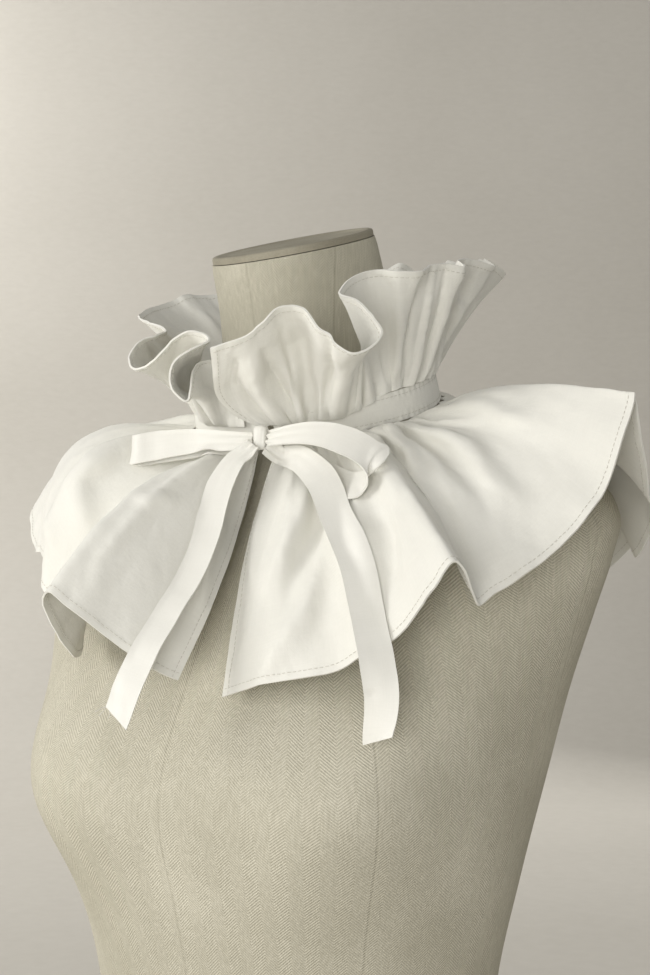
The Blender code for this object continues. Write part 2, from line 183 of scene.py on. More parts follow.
def walled_piece(name, middle, normals, wall, cut_across, cut_along, material, slot):
    """A closed thin wall on a grid of middle points."""
    along, across = middle.shape[:2]
    half = normals * (np.broadcast_to(wall, middle.shape[:2])[:, :, None] / 2)
    points = np.concatenate([(middle + half).reshape(-1, 3), (middle - half).reshape(-1, 3)])
    count = along * across
    outer = grid_faces(across, along)
    faces = outer + [(a + count, d + count, c + count, b + count) for a, b, c, d in outer]
    last = (along - 1) * across
    borders = [(i + 1, i) for i in range(across - 1)] + [(last + i, last + i + 1) for i in range(across - 1)]
    borders += [(j, j + across) for j in range(0, last, across)]
    borders += [(j + across, j) for j in range(across - 1, last + across - 1, across)]
    faces += [(a, b, b + count, a + count) for a, b in borders]
    one_face = np.stack(np.broadcast_arrays(cut_across * MM, (cut_along * MM)[:, None]), -1).reshape(-1, 2)
    return add_piece(name, points, faces, material, slot, np.tile(one_face, (2, 1)))


def joined(parts):
    """The points and faces of several meshes as one."""
    faces, before = [], 0
    for points, these in parts:
        faces += [tuple(before + i for i in face) for face in these]
        before += len(points)
    return np.concatenate([points for points, _ in parts]), faces


def area_of(grid):
    """The area of a grid of points in square metres."""
    side = np.cross(np.diff(grid, axis=1)[:-1], np.diff(grid, axis=0)[:, :-1])
    return float(np.linalg.norm(side, axis=2).sum()) * MM * MM


print("helpers ready: grid_faces, grid_normals, add_piece, walled_piece, joined, area_of")

# %% [markdown]
# ## Finishes
#
# Every finish is worked out by nodes, with no picture behind it. A plain weave is two sine waves
# multiplied, one for each set of threads. Long thin noise along each set gives slubs, where a thread was
# spun thicker. Wide noise makes the cloth faintly uneven in tone, as a washed and pressed cotton is.
# The linen of the form has a herringbone: its slanting lines turn back at each narrow stripe.

# %% A short way to add nodes
TONE_DARK_AT, TONE_PALE_AT = 0.3, 0.7


def node(tree, kind, inputs=None, **settings):
    """Adds one node, sets its options, and fills or links its inputs."""
    made = tree.nodes.new(kind)
    for key, value in settings.items():
        setattr(made, key, value)
    for key, value in (inputs or {}).items():
        if isinstance(value, bpy.types.NodeSocket):
            tree.links.new(value, made.inputs[key])
        else:
            made.inputs[key].default_value = value
    return made


def sums(tree, operation, first, second=0.0):
    """One step of arithmetic on sockets or numbers."""
    return node(tree, "ShaderNodeMath", {0: first, 1: second}, operation=operation).outputs[0]


def blend(tree, *parts):
    """A weighted sum, from pairs of a socket and its weight."""
    total = sums(tree, "MULTIPLY", *parts[0])
    for part in parts[1:]:
        total = sums(tree, "ADD", total, sums(tree, "MULTIPLY", *part))
    return total


def noise(tree, place, scale, detail=3.0):
    """Soft noise, with scale as the number of lumps in a metre."""
    made = node(tree, "ShaderNodeTexNoise", {"Vector": place, "Scale": scale, "Detail": detail})
    return made.outputs["Fac"]


def stretched(tree, place, scale):
    """The same places, scaled by a different amount along each axis."""
    return node(tree, "ShaderNodeMapping", {"Vector": place, "Scale": scale}).outputs[0]


def tones(tree, how_much, dark, pale):
    """A colour between two tones."""
    ramp = node(tree, "ShaderNodeValToRGB", {"Fac": how_much})
    low, high = ramp.color_ramp.elements
    low.position, high.position = TONE_DARK_AT, TONE_PALE_AT
    low.color, high.color = (*dark, 1), (*pale, 1)
    return ramp.outputs[0]


def raised(tree, height, distance, strength, under=None):
    """A bump, on top of another one where it is given."""
    inputs = {"Height": height, "Distance": distance, "Strength": strength}
    if under is not None:
        inputs["Normal"] = under
    return node(tree, "ShaderNodeBump", inputs).outputs[0]


def empty_finish(name):
    """A new material, its node tree and its shader."""
    made = bpy.data.materials.new(name)
    made.use_nodes = True
    return made, made.node_tree, made.node_tree.nodes["Principled BSDF"]


def fill(shader, tree, colour, normal, **plain):
    """Links the colour and the bump, and sets the plain values on the shader itself."""
    tree.links.new(colour, shader.inputs["Base Color"])
    tree.links.new(normal, shader.inputs["Normal"])
    for name, value in plain.items():
        shader.inputs[name.replace("_", " ")].default_value = value


# %% Cotton, and the softer ribbon
SLUB_LONG, SLUB_THIN = 40.0, 1400.0
MOTTLE_SCALE = 22.0
FLECK_SCALE = 900.0
CRUMPLE_SCALE = 75.0
COTTON_PITCH = 0.00045
RIBBON_PITCH = 0.0003


def woven_finish(name, dark, pale, pitch, weave_depth, crumple_depth, **plain):
    """A plain weave that follows the flat cut, with slubs, faint mottling and fine crumpling."""
    made, tree, shader = empty_finish(name)
    cut = node(tree, "ShaderNodeUVMap", uv_map="cut").outputs[0]
    place = node(tree, "ShaderNodeTexCoord").outputs["Object"]
    split = node(tree, "ShaderNodeSeparateXYZ", {0: cut})
    turns = math.pi / pitch
    warp, weft = (sums(tree, "SINE", sums(tree, "MULTIPLY", way, turns)) for way in split.outputs[:2])
    weave = sums(tree, "MULTIPLY", warp, weft)
    long_slubs = noise(tree, stretched(tree, cut, (SLUB_LONG, SLUB_THIN, 1.0)), 1.0)
    cross_slubs = noise(tree, stretched(tree, cut, (SLUB_THIN, SLUB_LONG, 1.0)), 1.0)
    slubs = sums(tree, "MULTIPLY", sums(tree, "ADD", long_slubs, cross_slubs), 0.5)
    mottle = noise(tree, place, MOTTLE_SCALE, 4.0)
    fleck = noise(tree, place, FLECK_SCALE, 2.0)
    colour = tones(tree, blend(tree, (mottle, 0.5), (slubs, 0.4), (fleck, 0.1)), dark, pale)
    bump = raised(tree, noise(tree, place, CRUMPLE_SCALE, 5.0), crumple_depth, 0.5)
    bump = raised(tree, slubs, weave_depth, 0.4, bump)
    bump = raised(tree, weave, weave_depth, 0.5, bump)
    fill(shader, tree, colour, bump, **plain)
    return made


cotton = woven_finish(
    "cotton_lawn", (0.76, 0.75, 0.695), (0.84, 0.83, 0.775), COTTON_PITCH, 0.00005, 0.0016,
    Roughness=0.88, Specular_IOR_Level=0.2, Sheen_Weight=0.22, Sheen_Roughness=0.5,
)
ribbon_cloth = woven_finish(
    "ribbon_satin", (0.76, 0.75, 0.70), (0.84, 0.83, 0.78), RIBBON_PITCH, 0.00003, 0.0005,
    Roughness=0.5, Specular_IOR_Level=0.4, Sheen_Weight=0.3, Sheen_Roughness=0.35,
)
print("woven finishes:", cotton.name, ribbon_cloth.name)

# %% Linen with a herringbone, seams and small pin marks
HERRINGBONE_STRIPE = 0.0065
HERRINGBONE_LINE = 0.0016
SEAM_EVERY = 45.0
SEAM_HALF = 0.0011
SEAM_TURN = 0.07
WOUND_AT = 0.12
THREAD_SCALES = (900.0, 900.0, 120.0)
LINEN_MOTTLE = 14.0
MARK_SCALE = 38.0
MARK_SIZE = 0.035
SEAM_DARKER = 0.08


def linen_finish(name, dark, pale):
    """A herringbone wound round the form, with panel seams and a few small marks."""
    made, tree, shader = empty_finish(name)
    place = node(tree, "ShaderNodeTexCoord").outputs["Object"]
    split = node(tree, "ShaderNodeSeparateXYZ", {0: place})
    x, y, up = split.outputs
    angle = sums(tree, "ARCTAN2", x, sums(tree, "MULTIPLY", y, -1.0))
    reach = sums(tree, "SQRT", blend(tree, (x, x), (y, y)))
    around = sums(tree, "MULTIPLY", angle, WOUND_AT)
    zigzag = sums(tree, "PINGPONG", around, HERRINGBONE_STRIPE)
    line = sums(tree, "MULTIPLY", sums(tree, "ADD", up, zigzag), 2 * math.pi / HERRINGBONE_LINE)
    weave = sums(tree, "SINE", line)
    threads = noise(tree, stretched(tree, place, THREAD_SCALES), 1.0)
    mottle = noise(tree, place, LINEN_MOTTLE, 5.0)
    half_panel = math.radians(SEAM_EVERY) / 2
    from_seam = sums(tree, "PINGPONG", sums(tree, "ADD", angle, SEAM_TURN), half_panel)
    off_seam = sums(tree, "MULTIPLY", from_seam, reach)
    seam = sums(tree, "SUBTRACT", 1.0, sums(tree, "MINIMUM", sums(tree, "DIVIDE", off_seam, SEAM_HALF), 1.0))
    marks = node(tree, "ShaderNodeTexVoronoi", {"Vector": place, "Scale": MARK_SCALE}).outputs["Distance"]
    mark = sums(tree, "LESS_THAN", marks, MARK_SIZE)
    darker = sums(tree, "MULTIPLY", sums(tree, "ADD", seam, mark), SEAM_DARKER)
    tone = sums(tree, "SUBTRACT", blend(tree, (mottle, 0.5), (threads, 0.36), (weave, 0.11)), darker)
    bump = raised(tree, threads, 0.0003, 0.5)
    bump = raised(tree, weave, 0.0002, 0.7, bump)
    bump = raised(tree, sums(tree, "MULTIPLY", seam, -1.0), 0.0004, 0.6, bump)
    fill(shader, tree, tones(tree, tone, dark, pale), bump, Roughness=0.92, Specular_IOR_Level=0.15)
    return made


linen = linen_finish("linen_herringbone", (0.46, 0.435, 0.345), (0.75, 0.715, 0.60))
print("form finish:", linen.name)

# %% Board, thread and wall
def grainy_finish(name, dark, pale, grain, bump_distance, **plain):
    """A plain finish with grain at two sizes and a fine tooth."""
    made, tree, shader = empty_finish(name)
    place = node(tree, "ShaderNodeTexCoord").outputs["Object"]
    wide = noise(tree, place, grain, 4.0)
    fine = noise(tree, stretched(tree, place, (1.0, 1.0, 2.6)), grain * 24, 3.0)
    colour = tones(tree, blend(tree, (wide, 0.65), (fine, 0.35)), dark, pale)
    fill(shader, tree, colour, raised(tree, fine, bump_distance, 0.5), **plain)
    return made


board = grainy_finish("neck_board", (0.24, 0.22, 0.165), (0.40, 0.37, 0.29), 30.0, 0.0004, Roughness=0.9)
thread = grainy_finish("sewing_thread", (0.56, 0.54, 0.48), (0.68, 0.66, 0.60), 90.0, 0.0001, Roughness=0.6)
wall_paint = grainy_finish("pale_wall", (0.58, 0.555, 0.505), (0.64, 0.615, 0.565), 2.2, 0.0006, Roughness=0.95)
print("plain finishes:", board.name, thread.name, wall_paint.name)

# %% [markdown]
# ## The dress form
#
# The form is a padded shell, so its skin is smooth and its sections are ovals. Each row below is one
# section at its height above the floor. A ring of points is worked out for every few millimetres of
# height, and the rings are joined. The bust is one soft swell on each side of the front. The linen is
# sewn in eight long panels, which the finish draws as fine seams.

# %% Sections of the form
BAND_HEIGHT = 570.0
# Dress form, at its heights above the floor: half width, depth in front of and behind the neck's centre,
# forward tilt and sideways lean of the section, and its squareness, which is 2 for an oval
FORM_COLUMNS = ("height", "half_width", "front", "back", "tilt", "lean", "squareness")
FORM_SECTIONS = (
    (0, 154, 122, 92, 0, 0, 2.3),
    (60, 158, 126, 96, 0, 0, 2.3),
    (130, 138, 118, 84, 0, 0, 2.2),
    (190, 116, 112, 66, 0, 0, 2.1),
    (240, 119, 118, 70, 0, 0, 2.1),
    (300, 132, 126, 80, 0, 0, 2.1),
    (360, 146, 130, 90, 0, 0, 2.2),
    (410, 158, 118, 94, 0, 0, 2.2),
    (450, 170, 100, 93, 0, 0, 2.2),
    (480, 180, 86, 90, 2, 0, 2.1),
    (502, 184, 74, 84, 5, 0, 2.0),
    (520, 170, 64, 78, 8, 0, 2.0),
    (536, 134, 58, 73, 11, 0, 2.0),
    (550, 90, 54, 65, 14, 0, 2.0),
    (560, 68, 52, 60, 16, 0, 2.0),
    (574, 58, 51, 54, 16, 0, 2.0),
    (600, 51, 57, 44, 16, 1, 2.0),
    (632, 48.5, 62, 36, 15, 2.5, 2.0),
    (661, 47.5, 69, 25, 15, 3.5, 2.0),
)
BUST_HEIGHT = 352.0
BUST_BEARING = 31.0
BUST_RISE = 26.0
BUST_SPREAD = 27.0
BUST_TALL = 58.0
NECK_SWAY = 0.4


def form_ring(height, points):
    """One section of the dress form, as points round it from the front by the wearer's left."""
    half, front, back, tilt, lean, square = (
        float(curve_through(FORM_COLUMNS, FORM_SECTIONS, name, np.array([height]))[0])
        for name in FORM_COLUMNS[1:]
    )
    bearings = np.arange(points) * 360 / points
    b = np.radians(bearings)
    x = half * np.sign(np.sin(b)) * np.abs(np.sin(b)) ** (2 / square)
    y = (back - front) / 2 - (back + front) / 2 * np.sign(np.cos(b)) * np.abs(np.cos(b)) ** (2 / square)
    off_side = (bearings + 180) % 360 - 180
    tall = math.exp(-(((height - BUST_HEIGHT) / BUST_TALL) ** 2))
    swell = sum(np.exp(-(((off_side - s * BUST_BEARING) / BUST_SPREAD) ** 2)) for s in (-1, 1))
    reach = np.hypot(x, y)
    grow = 1 + BUST_RISE * tall * swell / reach
    x, y = x * grow, y * grow
    slope = math.tan(math.radians(lean))
    z = height + math.tan(math.radians(tilt)) * y + slope * x
    x = x - slope * NECK_SWAY * max(0.0, height - BAND_HEIGHT)
    return np.stack([x, y, z], -1)


print("the neck's top ring starts at", form_ring(FORM_SECTIONS[-1][0], 8)[0].round(1))

# %% The form's skin
FORM_POINTS = 168
RING_EVERY = 5.0
EDGE_INSET, EDGE_DROP = 0.5, 0.1


def stacked_rings(rings):
    """Points and faces of a closed stack of rings with flat ends."""
    points = len(rings[0])
    last = (len(rings) - 1) * points
    faces = grid_faces(points, len(rings), closed=True)
    faces += [tuple(range(points)), tuple(range(last, last + points))]
    return np.concatenate(rings), faces


def drawn_in(ring, inset, rise):
    """The same ring, smaller by inset all round and moved along the neck's slanted top."""
    centre = ring.mean(axis=0)
    quarter = len(ring) // 4
    normal = np.cross(ring[quarter] - centre, ring[2 * quarter] - centre)
    normal /= np.linalg.norm(normal)
    reach = np.linalg.norm(ring - centre, axis=1)[:, None]
    return ring - (ring - centre) / reach * inset + normal * rise


top_height = FORM_SECTIONS[-1][0]
heights = np.linspace(0, top_height, int(top_height / RING_EVERY) + 1)
rings = [form_ring(float(height), FORM_POINTS) for height in heights]
rings[-1] = drawn_in(rings[-1], EDGE_INSET, -EDGE_DROP)
form_points, form_faces = stacked_rings(rings)
form_piece = add_piece("form_skin", form_points, form_faces, linen, "linen")
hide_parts("form_body")
print(f"form: {len(form_faces)} faces, {form_points[:, 2].max():.0f} mm tall")

# %% [markdown]
# ## The neck's cap
#
# A disc of covered board closes the neck. Its rim is a little rounded, because the linen is folded over
# it and glued. A rounded rim is a stack of a few rings that shrink towards the top.

# %% The cap and its rim
CAP_GAP = 0.35
CAP_INSET = 0.9
# How far each ring of the cap lies in from its rim, and up from its underside
CAP_PROFILE = ((0.0, 0.0), (0.0, 2.6), (0.5, 3.5), (1.6, 4.0), (4.0, 3.9), (5.0, 3.4), (12.0, 3.3), (30.0, 3.4))

neck_top = form_ring(top_height, FORM_POINTS)
cap_rings = [drawn_in(neck_top, CAP_INSET + inset, CAP_GAP + rise) for inset, rise in CAP_PROFILE]
cap_piece = add_piece("neck_board", *stacked_rings(cap_rings), board, "linen")
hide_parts("neck_cap")
print(f"cap: {len(cap_rings)} rings, {max(up for _, up in CAP_PROFILE)} mm thick")

# %% [markdown]
# ## The neck band
#
# The band is a straight strip of cotton, folded double and stiff enough to stand. Both gathered edges are
# sewn into it, so it is pulled into small dents where each gather goes in. It ends on both sides of the
# throat, where the ribbon closes it.

# %% The band
BAND_SIDE = 72.0
BAND_FRONT = 66.0
BAND_TILT = 16.0
BAND_WIDTH = 17.0
BAND_WALL = 2.0
BAND_FLARE = 0.08
OPENING_AT = 5.0
OPENING_HALF = 4.0


def band_point(bearing, up, out=0.0):
    """A point on the band's oval, up along its width and out through its wall."""
    wide = 1.0 - BAND_FLARE * up / BAND_SIDE
    b = np.radians(bearing)
    x = (BAND_SIDE * wide + out) * np.sin(b)
    y = -(BAND_FRONT * wide + out) * np.cos(b)
    tilt = math.radians(BAND_TILT)
    z = BAND_HEIGHT + math.tan(tilt) * y
    return np.stack([x, y - math.sin(tilt) * up, z + math.cos(tilt) * up], -1)


print("the middle of the band's back lies at", band_point(180, 0).round(1))

# %% The band's cloth
BAND_COLUMNS, BAND_ROWS = 1041, 21
BAND_GATHERS = 80
BAND_DENT = 0.22
DENT_SPREAD = 3.5
DENT_WANDER = 0.4
BAND_UNEVEN = 0.22
SEWN_IN, SEWN_HALF, SEWN_DEEP = 2.2, 0.7, 0.35
EDGE_WIDE, EDGE_THIN = 0.3, 0.5

band_bearings = np.linspace(OPENING_AT + OPENING_HALF, OPENING_AT + 360 - OPENING_HALF, BAND_COLUMNS)
band_ups = np.linspace(-BAND_WIDTH / 2, BAND_WIDTH / 2, BAND_ROWS)
band_middle = np.array([band_point(band_bearings, up) for up in band_ups])
band_length = float(np.linalg.norm(np.diff(band_middle[BAND_ROWS // 2], axis=0), axis=1).sum())
band_normals = grid_normals(band_middle)
band_cut = np.linspace(0, band_length, len(band_bearings))
across_cut, up_cut = np.meshgrid(band_cut, band_ups)
near_edge = np.exp(-(((BAND_WIDTH / 2 - np.abs(up_cut)) / DENT_SPREAD) ** 2))
wander = DENT_WANDER * soft_hills(across_cut, up_cut, (9, 30), 11)
dents = BAND_DENT * near_edge * np.sin(2 * math.pi * (across_cut / band_length * BAND_GATHERS + wander))
dents = dents + BAND_UNEVEN * soft_hills(across_cut, up_cut, (7, 6), 12)
sewn = np.exp(-(((BAND_WIDTH / 2 - SEWN_IN - np.abs(up_cut)) / SEWN_HALF) ** 2))
band_wall = BAND_WALL - SEWN_DEEP * sewn - EDGE_THIN * (np.abs(up_cut) > BAND_WIDTH / 2 - EDGE_WIDE)
band_middle = band_middle + band_normals * dents[:, :, None]
band_piece = walled_piece(
    "band_cloth", band_middle, band_normals, band_wall, band_cut, band_ups, cotton, "cotton"
)
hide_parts("neck_band")
print(f"band: {band_length:.0f} mm long, {area_of(band_middle) * 1e4:.0f} square cm")

# %% [markdown]
# ## How a gathered strip hangs
#
# The frill and the flounce are long strips that are drawn up by a running thread and sewn to the band.
# Each row of a table below is one fold: where it sits on the band, which way the cloth leaves the seam,
# which way it points at the hem, and how steeply it rises. The cloth is walked out from the seam in short
# steps, turning a little at each one. Small gathers are strong at the seam and fade down the cloth, each
# at its own rate, because no two stitches pull the same. A cloth simulation could drape such a strip, but
# it wouldn't find the very folds of this collar, so they are listed in the tables.

# %% Walk the cloth out from the seam
GATHER_FADE = 0.36
END_FADE = 14.0
KNEE = 0.5
BEND_SPREAD = 0.9
SWING_SPREAD = 0.6
PATH_STEPS = 32
COLUMNS_PER_GATHER = 16
END_COLUMNS = 14
PLEAT_ROUND = 0.55
# How much the gathers' places, depths, reaches and splits vary, and over how many gathers
GATHERS_VARY = ((0.22, 2.3), (0.4, 1.1), (0.5, 1.4), (0.3, 1.2))
WANDER_FROM, SPLIT_FROM, TURN_FROM = 0.3, 0.08, 0.12
DROP_FULL = 34.0
DROP_FADE = 26.0
DROP_SHARE = 0.5


def strip_bearings(folds, gathers):
    """Places round the band, closer together at both cut ends, where the narrow hems are."""
    count = gathers * COLUMNS_PER_GATHER + 1
    bearings = np.linspace(folds[0][0], folds[-1][0], count)
    extra = (bearings[:END_COLUMNS] + bearings[1 : END_COLUMNS + 1]) / 2
    other = (bearings[-END_COLUMNS:] + bearings[-END_COLUMNS - 1 : -1]) / 2
    return np.sort(np.concatenate([bearings, extra, other]))


def draped_strip(columns, folds, width, shares, gathers, depth, seam_up, seed, drop=(0.0, 0.0)):
    """The middle of the cloth and its normals, rows from seam to hem, with uneven gathers."""
    bearings = strip_bearings(folds, gathers)
    curves = {name: curve_through(columns, folds, name, bearings) for name in columns[1:]}
    knee = curves.get("knee", KNEE)
    step = width * curves.get("share", 1.0 + 0 * bearings) / PATH_STEPS
    turn = (bearings - bearings[0]) / (bearings[-1] - bearings[0]) * gathers
    from_end = np.minimum(bearings - bearings[0], bearings[-1] - bearings)
    flat_ends = smooth(from_end / END_FADE)
    outward = heading(bearings)
    beside = np.abs((bearings - OPENING_AT + 180) % 360 - 180)
    near_tie = 1 - smooth((beside - DROP_FULL) / DROP_FADE)
    place = band_point(bearings, seam_up, depth - BAND_WALL / 2)
    dropped, pushed_out = (amount * near_tie for amount in drop)
    hung = band_point(bearings, seam_up - dropped, depth - BAND_WALL / 2 + pushed_out) - place
    path = [place]
    for k in range(PATH_STEPS):
        along = (k + 0.5) / PATH_STEPS
        bend = smooth((along - knee) / BEND_SPREAD + 0.5)
        swing = smooth(along / SWING_SPREAD + 0 * bearings)
        bearing = curves["leaves"] + (curves["ends"] - curves["leaves"]) * swing
        rise = curves["rise"] + (curves["tops"] - curves["rise"]) * bend
        place = place + step[:, None] * heading(bearing, rise)
        path.append(place)
    path = np.array(path)
    at = shares * PATH_STEPS
    low = np.minimum(at.astype(int), PATH_STEPS - 1)
    smooth_strip = path[low] + (path[low + 1] - path[low]) * (at - low)[:, None, None]
    smooth_strip = smooth_strip + hung * (1 - smooth(shares / DROP_SHARE))[:, None, None]
    normals = grid_normals(smooth_strip)
    wander, deeper, longer, split = (
        amount * soft_hills(turn, 0 * turn, (over, 1), seed + k)
        for k, (amount, over) in enumerate(GATHERS_VARY)
    )
    share = shares[:, None]
    phase = 2 * math.pi * (turn + wander * smooth(share / WANDER_FROM))
    pleat = 2 * ((1 + np.sin(phase)) / 2) ** PLEAT_ROUND - 1
    pleat = pleat + split * np.sin(2 * phase + 1.0) * smooth(share / SPLIT_FROM)
    reach = GATHER_FADE * (1 + longer)
    ripple = depth * (1 + deeper) * np.exp(-((share / reach) ** 2)) * flat_ends * pleat
    turned = smooth(share / TURN_FROM)[:, :, None]
    way = outward * (1 - turned) + normals * turned
    strip = smooth_strip + way * ripple[:, :, None]
    return bearings, strip, grid_normals(strip)


print("columns round the flounce:", len(strip_bearings(((11,), (362,)), 36)))

# %% [markdown]
# ## Creases
#
# Thin pressed cotton breaks into long creases where it is pushed sideways. Each one is a short line on the
# strip. The cloth beside it moves in for a trough or out for a ridge, most at the line and less to both
# sides, and the line fades at its ends. Real creases wander, so the width and depth vary on the way.

# %% Press a crease into the cloth
CREASE_STEPS = 28
CREASE_REACH = 16.0
CREASE_CHANGES = 5
CREASE_UNEVEN = (0.75, 1.25)
CREASE_START, CREASE_SPAN = 0.05, 0.9
CREASE_ROUND = 0.6
SEEDED_LEAN, TROUGH_SHARE = 3, 0.6
SEEDED_TOPS, SEEDED_FEET, SEEDED_GAPS = (0.03, 0.2), (0.65, 0.98), (0.6, 1.5)


def add_creases(strip, normals, bearings, shares, creases, seed, deeper):
    """Moves the strip's points for every crease: its line, its half width and its depth in millimetres."""
    chance = np.random.default_rng(seed)
    fixed = strip.copy()
    for line, half_width, shallow in creases:
        depth = shallow * deeper
        knots = np.array(line, float)
        t = np.linspace(0, 1, CREASE_STEPS)
        along = np.linspace(0, 1, len(knots))
        across_at = np.interp(np.interp(t, along, knots[:, 0]), bearings, np.arange(len(bearings)))
        down_at = np.interp(np.interp(t, along, knots[:, 1]), shares, np.arange(len(shares)))
        left = np.minimum(across_at.astype(int), len(bearings) - 2)
        top = np.minimum(down_at.astype(int), len(shares) - 2)
        fa, fd = (across_at - left)[:, None], (down_at - top)[:, None]
        upper = fixed[top, left] * (1 - fa) + fixed[top, left + 1] * fa
        lower = fixed[top + 1, left] * (1 - fa) + fixed[top + 1, left + 1] * fa
        points = upper * (1 - fd) + lower * fd
        widths = chance.uniform(*CREASE_UNEVEN, CREASE_CHANGES)
        uneven = np.interp(t, np.linspace(0, 1, CREASE_CHANGES), widths)
        lift = depth * uneven * np.sin(math.pi * (t * CREASE_SPAN + CREASE_START)) ** CREASE_ROUND
        first = np.searchsorted(bearings, knots[:, 0].min() - CREASE_REACH)
        stop = np.searchsorted(bearings, knots[:, 0].max() + CREASE_REACH)
        near = fixed[:, first:stop]
        gap = np.linalg.norm(near[:, :, None] - points, axis=3)
        nearest = gap.argmin(axis=2)
        closest = np.take_along_axis(gap, nearest[:, :, None], 2)[:, :, 0]
        push = lift[nearest] * np.exp(-((closest / (half_width * uneven[nearest])) ** 2))
        strip[:, first:stop] -= normals[:, first:stop] * push[:, :, None]
    return strip


def seeded_creases(start, stop, every, seed, half_width=(3.5, 7.0), depth=(0.8, 2.0)):
    """Creases for a stretch that the front view doesn't show, as long and as deep as the drawn ones."""
    chance = np.random.default_rng(seed)
    creases = []
    at = start
    while at < stop:
        lean = chance.uniform(-SEEDED_LEAN, SEEDED_LEAN)
        line = (
            (at, chance.uniform(*SEEDED_TOPS)), (at + lean / 2, 0.5), (at + lean, chance.uniform(*SEEDED_FEET))
        )
        sign = 1 if chance.random() < TROUGH_SHARE else -1
        creases.append((line, chance.uniform(*half_width), sign * chance.uniform(*depth)))
        at += every * chance.uniform(*SEEDED_GAPS)
    return creases


print("a stretch of 90 degrees takes", len(seeded_creases(90, 180, 9, 5)), "creases")

# %% [markdown]
# ## Hems and stitches
#
# The strips' free edges are turned twice and stitched, so the last few millimetres are thicker, the seam
# puckers a little, and a row of short stitches runs just inside. A stitch is a small rounded tube that
# dips into the cloth at both ends. Thousands of separate objects would be slow, so each row is one mesh.

# %% A hem's thickness and a row of stitches
HEM = 5.0
HEM_EXTRA = 0.45
STITCH_LINE = 3.8
STITCH_EVERY = 2.9
STITCH_LONG = 2.2
STITCH_RADIUS = 0.17
STITCH_SIDES = 5
STITCH_AHEAD = 0.5
# Where each ring of a stitch lies along it, how thick it is there, and how far it stands off the cloth
STITCH_RINGS = ((0.0, 0.35, -0.12), (0.14, 1.0, 0.08), (0.5, 1.0, 0.14), (0.86, 1.0, 0.08), (1.0, 0.35, -0.12))
STITCH_FACES = grid_faces(STITCH_SIDES, len(STITCH_RINGS), closed=True)
STITCH_FACES.append(tuple(range(STITCH_SIDES)))
STITCH_FACES.append(tuple(range((len(STITCH_RINGS) - 1) * STITCH_SIDES, len(STITCH_RINGS) * STITCH_SIDES)))
HEM_STEP = 0.9
GROOVE_DEEP, GROOVE_HALF = 0.3, 0.6


def hem_wall(edge, wall):
    """The cloth's thickness at a distance from its cut edge: a turned hem with its stitched groove."""
    turned = HEM_EXTRA * smooth((HEM - edge) / HEM_STEP)
    groove = GROOVE_DEEP * np.exp(-(((edge - STITCH_LINE) / GROOVE_HALF) ** 2))
    return wall + turned - groove


def on_line(at, run, values):
    """The value at a distance along a line, between those of its points."""
    return np.array([np.interp(at, run, values[:, k]) for k in range(3)])


def stitch_row(line, normals, lift):
    """Points and faces of the stitches along a line of points, lifted off the cloth along its normals."""
    run = run_along(line)
    points, faces = [], []
    ring = np.arange(STITCH_SIDES) * 2 * math.pi / STITCH_SIDES
    for start in np.arange(STITCH_EVERY / 2, run[-1] - STITCH_LONG, STITCH_EVERY):
        first = len(points) * STITCH_SIDES
        for share, fat, rise in STITCH_RINGS:
            at = start + share * STITCH_LONG
            middle, out = on_line(at, run, line), on_line(at, run, normals)
            side = np.cross(on_line(at + STITCH_AHEAD, run, line) - middle, out)
            side /= max(np.linalg.norm(side), TINY)
            radius = STITCH_RADIUS * fat
            middle = middle + out * (lift + rise)
            points.append(middle + radius * (np.outer(np.cos(ring), out) + np.outer(np.sin(ring), side)))
        faces += [tuple(first + i for i in face) for face in STITCH_FACES]
    return np.concatenate(points), faces


def stitches(name, rows):
    """One mesh for several rows of stitches."""
    return add_piece(name, *joined([stitch_row(*row) for row in rows]), thread, "cotton")


def row_at(shares, share):
    """The row that lies nearest to a share of the width."""
    return int(np.argmin(np.abs(shares - share)))


BAND_STITCH_LINE = 6.3
STITCH_SUNK = 0.1
band_rows = [
    (band_middle[row], band_normals[row], BAND_WALL / 2 - STITCH_SUNK)
    for row in (row_at(band_ups, -BAND_STITCH_LINE), row_at(band_ups, BAND_STITCH_LINE))
]
band_stitches = stitches("band_stitches", band_rows)
print("stitches on the band:", len(band_stitches.data.polygons) // len(STITCH_FACES))

# %% [markdown]
# ## The standing frill
#
# The frill is a straight strip, gathered along its lower edge. It rolls outwards at the wearer's right,
# stands in a tall fluted front, opens into one wide roll at the left, and then stands up in fine pleats.

